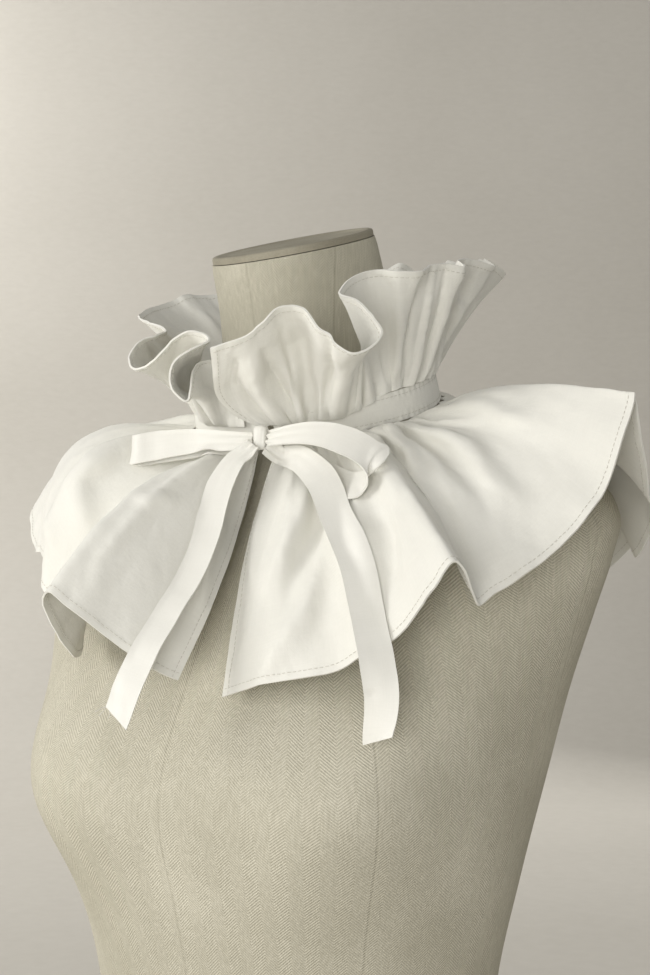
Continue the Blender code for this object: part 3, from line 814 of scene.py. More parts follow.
# %% Folds of the frill
# Each row is one fold of the standing frill, from the wearer's left front end round the back to the right one.
# base: bearing on the band; leaves, ends: bearing of the cloth at the band and at the free edge;
# rise, tops: its slope above level at the band and at the free edge; share: its width as a share of the whole.
FRILL_COLUMNS = ("base", "leaves", "ends", "rise", "tops", "share")
FRILL_FOLDS = (
    (4, -64, 30, 12, 44, 1.0),
    (8, -50, 34, 16, 44, 1.0),
    (12, -34, 36, 22, 42, 1.0),
    (17, -10, 30, 34, 42, 1.0),
    (22, 12, 23, 52, 42, 1.0),
    (26, 27, 28, 52, 38, 1.0),
    (30, 30, 30, 42, 24, 1.0),
    (34, 32, 34, 34, 12, 1.0),
    (38, 36, 38, 28, 8, 1.0),
    (43, 44, 44, 34, 16, 1.0),
    (46, 42, 42, 38, 22, 1.0),
    (49, 36, 28, 50, 34, 1.0),
    (53, 26, 2, 58, 40, 1.0),
    (57, 22, 0, 72, 54, 1.0),
    (61, 28, 6, 76, 62, 1.0),
    (66, 38, 18, 74, 60, 1.0),
    (70, 48, 30, 70, 56, 1.0),
    (73, 58, 42, 68, 56, 1.0),
    (76, 64, 52, 74, 62, 1.0),
    (79, 68, 60, 72, 64, 1.0),
    (82, 75, 62, 68, 64, 1.0),
    (86, 80, 74, 64, 63, 1.0),
    (91, 84, 70, 70, 67, 1.0),
    (98, 94, 84, 70, 66, 1.0),
    (106, 106, 108, 62, 55, 1.0),
    (114, 114, 104, 68, 61, 1.0),
    (124, 124, 130, 57, 46, 1.0),
    (134, 134, 126, 67, 59, 1.0),
    (145, 146, 152, 52, 38, 1.0),
    (156, 156, 148, 66, 58, 1.0),
    (167, 168, 174, 54, 42, 1.0),
    (178, 178, 170, 68, 60, 1.0),
    (189, 190, 196, 54, 42, 1.0),
    (200, 200, 192, 66, 58, 1.0),
    (211, 212, 218, 52, 40, 1.0),
    (221, 222, 216, 64, 54, 1.0),
    (232, 236, 238, 58, 44, 1.0),
    (239, 250, 256, 58, 42, 1.0),
    (246, 256, 272, 56, 42, 1.0),
    (253, 246, 284, 50, 40, 1.0),
    (260, 262, 330, 44, 30, 1.0),
    (266, 316, 362, 38, 24, 1.0),
    (271, 325, 378, 36, 20, 1.0),
    (277, 326, 388, 36, 16, 1.0),
    (283, 341, 380, 32, 17, 1.0),
    (287, 341, 373, 30, 18, 1.0),
    (291, 341, 369, 24, 18, 1.0),
    (295, 342, 367, 18, 16, 1.0),
    (299, 342, 371, 16, 11, 1.0),
    (304, 344, 378, 17, 10, 1.0),
    (309, 346, 385, 23, 13, 1.0),
    (314, 348, 398, 36, 25, 1.0),
    (318, 360, 403, 43, 25, 1.0),
    (321, 372, 406, 44, 20, 1.0),
    (324, 372, 406, 42, 16, 1.0),
    (328, 364, 393, 38, 14, 0.96),
    (332, 356, 379, 32, 10, 0.9),
    (336, 352, 373, 25, 2, 0.84),
    (340, 351, 372, 20, -5, 0.78),
    (344, 354, 374, 20, -7, 0.7),
    (348, 352, 356, 50, 36, 0.55),
    (352, 354, 354, 68, 60, 0.42),
    (356, 357, 357, 74, 70, 0.36),
)
FRILL_WIDTH = 70.0
FRILL_GATHERS = 44
FRILL_GATHER_DEPTH = 1.9
SEAM_GAP = 0.6
CLOTH_WALL = 0.6
FRILL_DROP = (8.0, 2.4)
FRILL_DEEPER = 2.0
print("folds round the frill:", len(FRILL_FOLDS))

# %% Creases of the frill
# Each row is one crease: bearings and shares of the width along its line, its half width, and its depth, which
# is below 0 for a ridge.
FRILL_CREASES = [
    (((16, 0.0), (15, 0.3), (14, 0.75)), 3.5, -2.0),
    (((20, 0.0), (19, 0.3), (16.5, 0.7)), 3.0, 2.6),
    (((23, 0.0), (22, 0.2), (20, 0.6)), 2.8, -1.9),
    (((26, 0.02), (25, 0.4), (24, 0.8)), 4.5, 2.8),
    (((29, 0.0), (34, 0.42), (32, 1.0)), 3.6, 2.4),
    (((36, 0.1), (39, 0.4), (40, 0.7)), 4.0, -1.0),
    (((70, 0.03), (72, 0.25), (74, 0.8), (74, 0.97)), 3.0, 2.4),
    (((60, 0.08), (62, 0.3), (64, 0.57)), 6.0, 1.3),
    (((106, 0.2), (102, 0.58), (86, 0.93)), 3.0, -1.6),
    (((79, 0.05), (79, 0.4), (78, 0.95)), 2.6, -1.3),
    (((84, 0.05), (84, 0.5), (82, 0.98)), 3.0, 2.0),
    (((88, 0.05), (88, 0.5), (87, 0.98)), 2.6, -1.2),
    (((97, 0.05), (96, 0.5), (96, 0.98)), 3.0, 1.6),
    (((66, 0.02), (68, 0.3), (69, 0.9)), 3.0, -1.3),
    (((12, 0.0), (11, 0.3), (10, 0.75)), 3.0, 2.0),
    (((22, 0.0), (22, 0.3), (21, 0.75)), 2.4, 1.3),
    (((30, 0.0), (31, 0.25), (33, 0.5)), 2.4, -1.2),
    (((44, 0.0), (45, 0.3), (45, 0.8)), 3.0, 1.5),
    (((92, 0.1), (91, 0.5), (90, 0.95)), 3.0, 1.5),
    (((6, 0.1), (8, 0.4), (9, 0.8)), 3.5, 1.1),
    (((322, 0.05), (320, 0.4), (321, 0.75)), 3.5, 1.4),
    (((335, 0.05), (337, 0.35), (335, 0.8)), 4.0, -1.2),
    (((300, 0.1), (302, 0.5), (299, 0.85)), 4.0, 1.4),
    (((285, 0.1), (288, 0.45), (286, 0.9)), 3.5, -1.4),
    (((272, 0.1), (274, 0.5), (270, 0.85)), 3.5, 1.4),
]
FRILL_CREASES += seeded_creases(98, 265, 7.5, 31, (2.6, 4.5), (0.8, 1.9))
print("creases on the frill:", len(FRILL_CREASES))

# %% The rows of a cloth, and its unevenness
# Rows of points down the cloth, closer together at the seam and at the hem: to where, and how many
FRILL_SPACING = ((12, 9), (62, 25), (FRILL_WIDTH, 14))
# Soft hills in all the cloth: their height, how far they lean, and their size
CLOTH_HILLS = ((0.75, 0.0, (15, 48)), (0.35, 0.4, (7, 21)), (0.22, -0.5, (5, 9)))
PUCKER, PUCKER_SIZE, PUCKER_SPREAD = 0.34, (3.4, 30), 4.5
HEM_WAVE, HEM_WAVE_LONG, HEM_WAVE_FROM, HEM_WAVE_OVER = 1.3, 19, 0.72, 0.28


def row_shares(spacing):
    """The rows' places as shares of the width, from a list of where each stretch ends and its rows."""
    starts = [0, *(stop for stop, _ in spacing[:-1])]
    stretches = [np.linspace(start, stop, count) for start, (stop, count) in zip(starts, spacing)]
    return np.concatenate([stretch[:-1] for stretch in stretches[:-1]] + stretches[-1:]) / spacing[-1][0]


def cut_sizes(strip, shares, width):
    """Where each column and row lies on the flat cut, and each point's distance from a cut edge."""
    along = shares * width
    runs = np.array([run_along(line) for line in strip])
    from_ends = np.minimum(runs, runs[:, -1:] - runs)
    edge = np.minimum(from_ends, (width - along)[:, None])
    return runs[-1], along, edge


def worried(strip, normals, across, along, edge, seed, fade):
    """Adds long soft unevenness to the cloth, and the pucker beside its stitched hem."""
    u, v = np.meshgrid(across, along)
    soft = sum(
        height * soft_hills(u + lean * v, v, size, seed + k)
        for k, (height, lean, size) in enumerate(CLOTH_HILLS)
    )
    near_hem = np.exp(-(((edge - STITCH_LINE) / PUCKER_SPREAD) ** 2))
    pucker = PUCKER * soft_hills(u, v, PUCKER_SIZE, seed + 3) * near_hem
    low = smooth((v - v.max() * HEM_WAVE_FROM) / (v.max() * HEM_WAVE_OVER))
    hem_wave = HEM_WAVE * soft_hills(u, 0 * v, (HEM_WAVE_LONG, 1), seed + 4) * low
    return strip + normals * ((soft * smooth(v / fade) + pucker + hem_wave)[:, :, None])


print("rows of points down the frill:", len(row_shares(FRILL_SPACING)))

# %% Lay one piece clear of another
def skin_tree(piece):
    """A search tree of a piece's faces, in millimetres."""
    return BVHTree.FromPolygons(
        [v.co / MM for v in piece.data.vertices], [p.vertices for p in piece.data.polygons]
    )


def laid_clear(points, tree, gaps):
    """Moves points out of a skin until each is its own gap away from it."""
    for k, point in enumerate(points):
        place = Vector(point)
        near, normal, _, _ = tree.find_nearest(place)
        height = (place - near).dot(normal)
        if height < gaps[k]:
            points[k] = place + normal * (gaps[k] - height)


lowest = skin_tree(form_piece).find_nearest(Vector((0, 0, -10)))
print("the form's underside lies", round(lowest[3]), "mm above a point 10 mm below it")

# %% Stitch rows of a hem
HEM_STITCH_SUNK = 0.08
FIRST_STITCHED_ROW = 4


def hem_rows(strip, normals, shares, width, edge):
    """The stitch rows of a strip's hem and of its two front edges, on both faces of the cloth."""
    row, middle, half = row_at(shares, 1 - STITCH_LINE / width), len(shares) // 2, strip.shape[1] // 2
    first, last = row_at(edge[middle, :half], STITCH_LINE), half + row_at(edge[middle, half:], STITCH_LINE)
    below = slice(FIRST_STITCHED_ROW, None)
    lines = [(strip[row], normals[row])] + [(strip[below, end], normals[below, end]) for end in (first, last)]
    lift = (CLOTH_WALL + HEM_EXTRA) / 2 - HEM_STITCH_SUNK
    return [(line, face * out, lift) for line, out in lines for face in (1, -1)]


print("a hem's stitches stand off the cloth's middle by", (CLOTH_WALL + HEM_EXTRA) / 2 - HEM_STITCH_SUNK, "mm")

# %% From a draped strip to a sewn piece
CLEAR_FROM_ROW = 2


def gathered_cloth(name, width, shares, draped, creases, deeper, level_over, seed, over=None, gap=0.0):
    """The creased and hemmed cloth of a draped strip, kept a gap off a skin below it, and its stitches."""
    bearings, strip, normals = draped
    across, along, edge = cut_sizes(strip, shares, width)
    strip = add_creases(strip, normals, bearings, shares, creases, seed + 1, deeper)
    strip = worried(strip, normals, across, along, edge, seed + 2, level_over)
    if over is not None:
        lower = strip[CLEAR_FROM_ROW:].reshape(-1, 3)
        laid_clear(lower, over, np.full(len(lower), gap))
        strip[CLEAR_FROM_ROW:] = lower.reshape(strip[CLEAR_FROM_ROW:].shape)
    normals = grid_normals(strip)
    wall = hem_wall(edge, CLOTH_WALL)
    cloth = walled_piece(f"{name}_cloth", strip, normals, wall, across, along, cotton, "cotton")
    sewn = stitches(f"{name}_stitches", hem_rows(strip, normals, shares, width, edge))
    count = len(sewn.data.polygons) // len(STITCH_FACES)
    print(f"{name}: {area_of(strip) * 1e4:.0f} square cm, hem {across[-1]:.0f} mm, {count} stitches")
    return cloth, sewn


# %% The frill's cloth
FRILL_LEVEL_OVER = 14
frill_shares = row_shares(FRILL_SPACING)
frill_draped = draped_strip(
    FRILL_COLUMNS, FRILL_FOLDS, FRILL_WIDTH, frill_shares, FRILL_GATHERS, FRILL_GATHER_DEPTH,
    BAND_WIDTH / 2 + SEAM_GAP, 40, FRILL_DROP,
)
frill_piece, frill_stitches = gathered_cloth(
    "frill", FRILL_WIDTH, frill_shares, frill_draped, FRILL_CREASES, FRILL_DEEPER, FRILL_LEVEL_OVER, 40
)
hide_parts("standing_frill")

# %% [markdown]
# ## The cape flounce
#
# The flounce is cut as a wide curve, so its hem is nearly twice as long as its gathered edge. It stands
# away from the left shoulder in one broad crest, breaks over the right one in a round lobe, and falls in
# two fans beside the opening. At the back it hangs in lower, even folds.

# %% Folds of the flounce
# Each row is one fold, as for the frill: two fans at the front, a crest that stands over the left shoulder,
# lower folds across the back, and a lobe that breaks over the right shoulder. knee: where along its width the
# cloth turns down.
FLOUNCE_COLUMNS = ("base", "leaves", "ends", "rise", "tops", "knee")
FLOUNCE_FOLDS = (
    (11, 4, 6, -54, -72, 0.5),
    (17, 20, 26, -42, -70, 0.45),
    (23, 32, 40, -44, -62, 0.5),
    (29, 40, 44, -34, -62, 0.5),
    (36, 44, 48, -28, -58, 0.5),
    (41, 46, 49, -22, -42, 0.5),
    (45, 49, 50, -18, -34, 0.5),
    (49, 54, 55, -26, -46, 0.5),
    (55, 58, 57, -16, -54, 0.5),
    (61, 62, 61, -16, -46, 0.5),
    (66, 66, 63, -12, -42, 0.5),
    (70, 70, 68, -6, -32, 0.5),
    (74, 73, 70, 2, -24, 0.5),
    (78, 76, 72, 12, -8, 0.45),
    (82, 78, 71, 17, -10, 0.45),
    (86, 81, 72, 10, -20, 0.45),
    (90, 87, 80, -2, -44, 0.6),
    (95, 94, 92, -8, -70, 0.76),
    (101, 102, 102, -8, -76, 0.72),
    (109, 111, 113, -20, -66, 0.6),
    (118, 120, 124, -14, -56, 0.5),
    (131, 132, 136, -40, -58, 0.5),
    (144, 146, 150, -18, -52, 0.5),
    (158, 158, 162, -44, -62, 0.5),
    (172, 172, 174, -26, -56, 0.5),
    (186, 186, 186, -50, -64, 0.5),
    (200, 198, 196, -26, -56, 0.5),
    (214, 212, 208, -46, -62, 0.5),
    (228, 226, 224, -20, -52, 0.5),
    (240, 240, 238, -34, -54, 0.5),
    (251, 250, 246, -12, -50, 0.6),
    (262, 262, 260, -22, -56, 0.7),
    (273, 272, 272, -6, -62, 0.7),
    (284, 281, 282, -10, -84, 0.66),
    (294, 290, 290, 4, -94, 0.56),
    (304, 300, 299, 4, -96, 0.52),
    (314, 310, 306, 0, -92, 0.5),
    (324, 318, 312, 4, -88, 0.48),
    (333, 328, 320, -24, -84, 0.46),
    (340, 336, 330, -36, -64, 0.5),
    (345, 342, 343, -16, -50, 0.5),
    (350, 348, 346, -20, -52, 0.5),
    (355, 354, 350, -28, -58, 0.5),
    (362, 366, 362, -62, -48, 0.5),
)
FLOUNCE_WIDTH = 150.0
FLOUNCE_GATHERS = 36
FLOUNCE_GATHER_DEPTH = 2.4
FLOUNCE_CLEAR = 2.6
FLOUNCE_DEEPER = 2.1
FLOUNCE_SPACING = ((20, 12), (141, 38), (FLOUNCE_WIDTH, 15))
print("folds round the flounce:", len(FLOUNCE_FOLDS))

# %% Creases of the flounce
FLOUNCE_CREASES = [
    (((23.2, 0.23), (20.8, 0.4), (16, 0.65)), 6, 3.0),
    (((25.6, 0.33), (20.8, 0.52), (18.3, 0.75)), 6, -1.5),
    (((26, 0.5), (20.8, 0.75), (15.9, 0.98)), 7, 2.3),
    (((32.9, 0.43), (32.9, 0.6), (32.9, 0.85)), 7, 2.6),
    (((37.8, 0.43), (37.8, 0.67), (35.4, 0.87)), 6, -1.5),
    (((52.4, 0.25), (50, 0.53), (47.6, 0.87)), 6, 2.0),
    (((57.3, 0.02), (54.9, 0.17), (52.4, 0.4)), 3.5, 2.6),
    (((60, 0.1), (62, 0.35), (61, 0.6)), 6, -1.5),
    (((67.1, 0.25), (64.6, 0.55), (64.6, 0.75)), 8, 2.5),
    (((76.8, 0.25), (74.4, 0.47), (74.4, 0.58)), 4, 1.6),
    (((80, 0.1), (79, 0.3), (78, 0.5)), 4, 1.2),
    (((325.4, 0.35), (325.4, 0.53), (330, 0.62)), 7, 2.4),
    (((347.4, 0.5), (349.8, 0.5), (354.7, 0.42)), 4, 1.0),
    (((359.6, 0.37), (359.6, 0.5), (361, 0.72)), 5, 2.0),
    (((325, 0.8), (318, 0.75), (312, 0.7)), 6, 1.5),
    (((13, 0.12), (12.6, 0.35), (13, 0.6)), 4, 1.2),
    (((28, 0.0), (28, 0.12), (27, 0.3)), 2.4, 1.3),
    (((33, 0.0), (34, 0.15), (34, 0.42)), 2.6, 1.4),
    (((39, 0.0), (40, 0.12), (41, 0.36)), 2.4, 1.3),
    (((48, 0.0), (48, 0.15), (49, 0.4)), 2.6, 1.5),
    (((53, 0.0), (53, 0.1), (54, 0.3)), 2.2, 1.2),
    (((64, 0.0), (65, 0.14), (66, 0.4)), 2.6, 1.5),
    (((72, 0.0), (72, 0.12), (73, 0.35)), 2.4, 1.3),
    (((84, 0.05), (84, 0.3), (86, 0.7)), 5.0, 1.3),
    (((44, 0.1), (43, 0.3), (42, 0.55)), 4, 1.6),
    (((336, 0.15), (335, 0.4), (333, 0.7)), 6, 1.8),
    (((343, 0.1), (343, 0.35), (345, 0.62)), 5, -1.3),
    (((352, 0.12), (351, 0.35), (350, 0.8)), 5, 1.5),
    (((307, 0.3), (310, 0.5), (316, 0.62)), 6, -1.6),
]
FLOUNCE_CREASES += seeded_creases(88, 302, 7, 51)
print("creases on the flounce:", len(FLOUNCE_CREASES))

# %% The flounce's cloth
FLOUNCE_LEVEL_OVER = 22
flounce_shares = row_shares(FLOUNCE_SPACING)
flounce_draped = draped_strip(
    FLOUNCE_COLUMNS, FLOUNCE_FOLDS, FLOUNCE_WIDTH, flounce_shares, FLOUNCE_GATHERS, FLOUNCE_GATHER_DEPTH,
    -BAND_WIDTH / 2 - SEAM_GAP, 60,
)
flounce_piece, flounce_stitches = gathered_cloth(
    "flounce", FLOUNCE_WIDTH, flounce_shares, flounce_draped, FLOUNCE_CREASES, FLOUNCE_DEEPER,
    FLOUNCE_LEVEL_OVER, 60, skin_tree(form_piece), FLOUNCE_CLEAR,
)
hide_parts("cape_flounce")

# %% [markdown]
# ## The ribbon tie
#
# One narrow ribbon closes the band and is tied in a bow: a knot, two loops and two free ends. Each stretch
# is a table of places on its middle line, with the way its width points there. The ribbon is laid on the
# finished flounce: every point that would be inside the cloth moves out of it, and that move is shared
# with its neighbours, so the ribbon stays smooth. It is drawn into small pleats where it enters the knot.

# %% The four stretches
# A row gives a place by its bearing, its reach from the neck's centre and its height, then the way the ribbon's
# width points, and how far it lies off the flounce.
RIBBON_WIDTH = 17.5
RIBBON_COLUMNS = ("bearing", "reach", "height", "width_bearing", "width_rise", "lift")
RIGHT_LOOP = (
    (6.5, 86, 543, 200, 76, 4.4),
    (-6, 88, 543, 200, 74, 4.4),
    (-19, 92, 543, 200, 72, 4.4),
    (-29, 103, 541, 200, 70, 4.4),
    (-33.5, 112, 539, 200, 70, 4.8),
    (-37, 112, 538, 200, 70, 3.2),
    (-34.5, 107, 538, 200, 70, 1.4),
    (-28, 97, 540, 200, 70, 1.4),
    (-18, 86, 541, 200, 72, 1.4),
    (-6, 81, 541, 200, 74, 1.4),
    (6, 79, 541, 200, 76, 1.4),
)
LEFT_LOOP = (
    (12.5, 86, 544, 176, 74, 4.6),
    (22, 95, 546, 172, 66, 6.0),
    (31, 107, 546, 168, 58, 8.0),
    (38, 117, 542, 166, 50, 9.5),
    (43, 125, 535, 166, 46, 9.5),
    (45, 125, 526, 166, 46, 7.5),
    (43.5, 118, 519, 168, 50, 4.0),
    (39, 110, 518, 170, 56, 2.0),
    (32, 97, 526, 176, 64, 1.4),
    (23, 84, 538, 176, 70, 1.4),
    (13, 79, 542, 176, 76, 1.4),
)
RIGHT_TAIL = (
    (8, 90, 541, 45, -62, 3.4),
    (6, 92, 537, 50, -50, 3.0),
    (3, 96, 532, 72, -24, 3.0),
    (1, 104, 520, 86, -6, 2.0),
    (1, 113, 505, 90, 2, 1.6),
    (1.5, 122, 490, 92, 4, 1.6),
    (1, 136, 470, 92, 4, 1.6),
    (0, 152, 453, 92, 2, 2.2),
    (-1, 167, 435, 92, 0, 3.0),
    (-2, 175, 420, 92, 2, 3.0),
    (-3, 182, 402, 90, 6, 1.6),
)
LEFT_TAIL = (
    (12.5, 87, 540, 50, 62, 3.4),
    (18, 84, 534, 60, 50, 3.0),
    (24.5, 93, 533, 84, 34, 3.0),
    (30, 105, 526, 104, 18, 3.0),
    (33, 114, 517, 114, 6, 3.0),
    (35.5, 129, 500, 120, 0, 2.2),
    (38, 148, 480, 122, -2, 1.6),
    (39, 162, 460, 124, -2, 1.6),
    (39.5, 172, 445, 124, -2, 1.6),
    (40, 178, 431, 122, -4, 1.6),
    (40.5, 180, 414, 104, -6, 1.6),
    (40, 178, 394, 78, -10, 1.6),
)
END_SLANT = 8.0
print("rows in the four stretches:", [len(rows) for rows in (RIGHT_LOOP, LEFT_LOOP, RIGHT_TAIL, LEFT_TAIL)])

# %% The ribbon's middle line
def ribbon_lines(rows, steps_per_row):
    """A ribbon's middle line, half its width, its direction and its lift, at steps along a table."""
    numbered = [(k, *row) for k, row in enumerate(rows)]
    columns = ("row", *RIBBON_COLUMNS)
    at = np.linspace(0, len(rows) - 1, (len(rows) - 1) * steps_per_row + 1)
    bearing, reach, height, turn, rise, lift = (
        curve_through(columns, numbered, name, at) for name in RIBBON_COLUMNS
    )
    middle = heading(bearing) * reach[:, None]
    middle[:, 2] = height
    tangent = np.gradient(middle, axis=0)
    tangent /= np.linalg.norm(tangent, axis=1)[:, None]
    across = heading(turn, rise)
    across -= tangent * (across * tangent).sum(axis=1)[:, None]
    across /= np.linalg.norm(across, axis=1)[:, None]
    return middle, across * (RIBBON_WIDTH / 2), tangent, lift


print("a tail's length in mm:", run_along(ribbon_lines(LEFT_TAIL, 8)[0])[-1].round())

# %% A ribbon laid on the flounce
RIBBON_WALL = 0.45
RIBBON_OUTSIDE = 0.9
RIBBON_STEPS = 10
RIBBON_ACROSS = 13
SELVEDGE = 0.18
PLEATS = 2.5
PLEAT_DEEP = 0.9
PLEAT_FADE = 13.0
NARROW_OVER = 0.3
SLANT_OVER = 9.0
RIBBON_CLEAR = 0.7
FAR_OUT = 400.0
SOFTENINGS, OWN_SHARE, NEXT_SHARE = 5, 0.4, 0.15
# Soft hills in the ribbon: their height and their size
RIBBON_HILLS = ((0.35, (13, 22)), (0.12, (5, 7)))
flounce_tree = skin_tree(flounce_piece)


def laid_outside(points, tree, gap):
    """Moves points away from the neck until they are outside a skin at their own height."""
    for k, point in enumerate(points):
        out = Vector((point[0], point[1], 0.0)).normalized()
        start = out * FAR_OUT + Vector((0.0, 0.0, point[2]))
        met, _, _, distance = tree.ray_cast(start, -out, FAR_OUT)
        if met is not None and FAR_OUT - distance + gap > math.hypot(point[0], point[1]):
            points[k] = met + out * gap


def softened(move):
    """Shares each point's move with its neighbours along and across the ribbon."""
    for _ in range(SOFTENINGS):
        padded = np.pad(move, ((1, 1), (1, 1), (0, 0)), mode="edge")
        sides = padded[:-2, 1:-1] + padded[2:, 1:-1] + padded[1:-1, :-2] + padded[1:-1, 2:]
        move = move * OWN_SHARE + sides * NEXT_SHARE
    return move


def ribbon_piece(name, rows, seed, slant=0.0, narrow_ends=(1.0, 1.0), pleated=(1.0, 0.0)):
    """A ribbon laid on the flounce, the grid of its middle, and its length in metres."""
    middle, across, tangent, lift = ribbon_lines(rows, RIBBON_STEPS)
    share = np.linspace(0, 1, len(middle))
    pinch = np.minimum(1.0, narrow_ends[0] + (1 - narrow_ends[0]) * share / NARROW_OVER)
    pinch = np.minimum(pinch, narrow_ends[1] + (1 - narrow_ends[1]) * (1 - share) / NARROW_OVER)
    width = np.linspace(-1, 1, RIBBON_ACROSS)
    strip = middle + width[:, None, None] * (across * pinch[:, None])
    run = run_along(middle)
    end_share = np.exp(-(((run[-1] - run) / SLANT_OVER) ** 2))
    strip = strip + width[:, None, None] * (tangent * (end_share * slant / 2)[:, None])
    before = strip.copy()
    flat = strip.reshape(-1, 3)
    laid_outside(flat, flounce_tree, RIBBON_OUTSIDE)
    laid_clear(flat, flounce_tree, np.tile(lift, RIBBON_ACROSS))
    strip = before + softened(flat.reshape(before.shape) - before)
    flat = strip.reshape(-1, 3)
    laid_clear(flat, flounce_tree, np.full(len(flat), RIBBON_CLEAR))
    strip = flat.reshape(before.shape)
    normals = grid_normals(strip)
    u, v = np.meshgrid(run, width * RIBBON_WIDTH / 2)
    pleat = np.sin(width * math.pi * PLEATS + seed)[:, None] * (
        pleated[0] * np.exp(-run / PLEAT_FADE) + pleated[1] * np.exp(-(run[-1] - run) / PLEAT_FADE)
    )
    soft = sum(height * soft_hills(u, v, size, seed + k) for k, (height, size) in enumerate(RIBBON_HILLS))
    strip = strip + normals * ((PLEAT_DEEP * pleat + soft)[:, :, None])
    normals = grid_normals(strip)
    wall = RIBBON_WALL + SELVEDGE * (np.abs(width) > 0.9)
    piece = walled_piece(
        name, strip, normals, wall[:, None], run, width * RIBBON_WIDTH / 2, ribbon_cloth, "ribbon"
    )
    return piece, strip, float(run[-1]) * MM


LOOP_NARROW, TAIL_NARROW, BOTH_PLEATED = (0.5, 0.5), (0.55, 1.0), (1.0, 1.0)
loop_right, _, loop_right_long = ribbon_piece("loop_right", RIGHT_LOOP, 3, 0.0, LOOP_NARROW, BOTH_PLEATED)
loop_left, _, loop_left_long = ribbon_piece("loop_left", LEFT_LOOP, 5, 0.0, LOOP_NARROW, BOTH_PLEATED)
tail_right, tail_right_strip, tail_right_long = ribbon_piece(
    "tail_right", RIGHT_TAIL, 7, END_SLANT, TAIL_NARROW
)
tail_left, _, tail_left_long = ribbon_piece("tail_left", LEFT_TAIL, 9, -END_SLANT, TAIL_NARROW)
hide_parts("bow_loop_right")
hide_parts("bow_loop_left")
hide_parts("bow_tail_right")
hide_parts("bow_tail_left")
ribbon_lengths = (loop_right_long, loop_left_long, tail_right_long, tail_left_long)
print("ribbon lengths in m:", [round(length, 3) for length in ribbon_lengths])

# %% [markdown]
# ## The knot and a frayed end
#
# The knot is one turn of the same ribbon, pulled tight over the others. It is a soft block whose front is
# creased from top to bottom, the way the ribbon runs over it. The tail at the wearer's right was cut by
# hand, and a few warp threads have come loose at its corner.

# %% The knot
KNOT_AT = (9.5, 84.0, 544.5)
KNOT_SIZE = (8.5, 8.0, 13.5)
KNOT_SQUARE = 0.62
KNOT_ROUND = 44
KNOT_TALL = 30
KNOT_ENDS = 0.985
KNOT_POWER = 3.2
KNOT_CUT = (0.026, 0.014)
# Each crease of the knot: its place across the front, its half width and its depth
KNOT_CREASES = ((-0.5, 0.16, 0.5), (0.05, 0.12, 0.42), (0.52, 0.14, 0.5))
CREASE_LEAN, CREASE_DEEP = 0.12, 0.8
WAIST = 0.1

knot_bearing, knot_reach, knot_height = KNOT_AT
knot_out, knot_side = heading(knot_bearing), heading(knot_bearing + 90)
turns = np.arange(KNOT_ROUND) * 2 * math.pi / KNOT_ROUND
knot_rings = []
for level in np.linspace(-KNOT_ENDS, KNOT_ENDS, KNOT_TALL):
    tall = math.copysign(abs(level) ** 0.8, level)
    girth = (1 - abs(level) ** KNOT_POWER) ** (1 / KNOT_POWER)
    wide = np.sign(np.sin(turns)) * np.abs(np.sin(turns)) ** KNOT_SQUARE * girth
    deep = np.sign(np.cos(turns)) * np.abs(np.cos(turns)) ** KNOT_SQUARE * girth
    crease = sum(d * np.exp(-(((wide - at - CREASE_LEAN * level) / w) ** 2)) for at, w, d in KNOT_CREASES)
    waist = 1 - WAIST * math.cos(level * 1.5)
    ring = np.outer(wide * KNOT_SIZE[0] / 2 * waist, knot_side)
    ring += np.outer(deep * KNOT_SIZE[1] / 2 - crease * (deep > 0) * girth * CREASE_DEEP, knot_out)
    knot_rings.append(ring + knot_out * knot_reach + np.array([0, 0, knot_height + tall * KNOT_SIZE[2] / 2]))
knot_points, knot_faces = stacked_rings(knot_rings)
knot_cut = np.array([
    (j / KNOT_ROUND * KNOT_CUT[0], i / KNOT_TALL * KNOT_CUT[1])
    for i in range(KNOT_TALL)
    for j in range(KNOT_ROUND)
])
knot_piece = add_piece("knot", knot_points, knot_faces, ribbon_cloth, "ribbon", knot_cut)
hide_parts("bow_knot")
print("knot faces:", len(knot_faces))

# %% Loose threads at the cut end
# Each thread: its place across the ribbon, how far it goes sideways and down at its middle, and at its end
LOOSE_THREADS = ((0.0, -2.4, -0.6, -5.6, -2.6), (0.08, -1.2, -2.0, -3.6, -4.6), (0.2, 0.4, -1.8, -0.8, -4.0))
THREAD_RADIUS = 0.2
THREAD_SIDES = 6
THREAD_POINTS = 13
picture_right = heading(120)


def tube(line):
    """The rings of a thread along a line of points."""
    way = np.gradient(line, axis=0)
    way /= np.linalg.norm(way, axis=1)[:, None]
    side = np.cross(way, np.array([0.3, -0.2, 0.93]))
    side /= np.linalg.norm(side, axis=1)[:, None]
    other = np.cross(way, side)
    ring = np.arange(THREAD_SIDES) * 2 * math.pi / THREAD_SIDES
    round_it = [np.outer(np.cos(ring), a) + np.outer(np.sin(ring), b) for a, b in zip(side, other)]
    return [point + THREAD_RADIUS * rim for point, rim in zip(line, round_it)]


def loose_thread(place, side, down, end_side, end_down):
    """A thread from inside the ribbon's cut end, place being a share of its width from the picture's left."""
    row = int(place * (RIBBON_ACROSS - 1))
    if tail_right_strip[0, -1] @ picture_right >= tail_right_strip[-1, -1] @ picture_right:
        row = RIBBON_ACROSS - 1 - row
    start, back = tail_right_strip[row, -1], tail_right_strip[row, -3]
    middle = start + picture_right * side + [0, 0, down]
    knots = np.array([back, start, middle, start + picture_right * end_side + [0, 0, end_down]])
    line = np.stack([on_line(at, range(4), knots) for at in np.linspace(0, 3, THREAD_POINTS)])
    line[1:-1] = (line[:-2] + 2 * line[1:-1] + line[2:]) / 4
    return stacked_rings(tube(line))


fray = add_piece("tail_fray", *joined([loose_thread(*row) for row in LOOSE_THREADS]), thread, "ribbon")
print("loose threads:", len(LOOSE_THREADS))

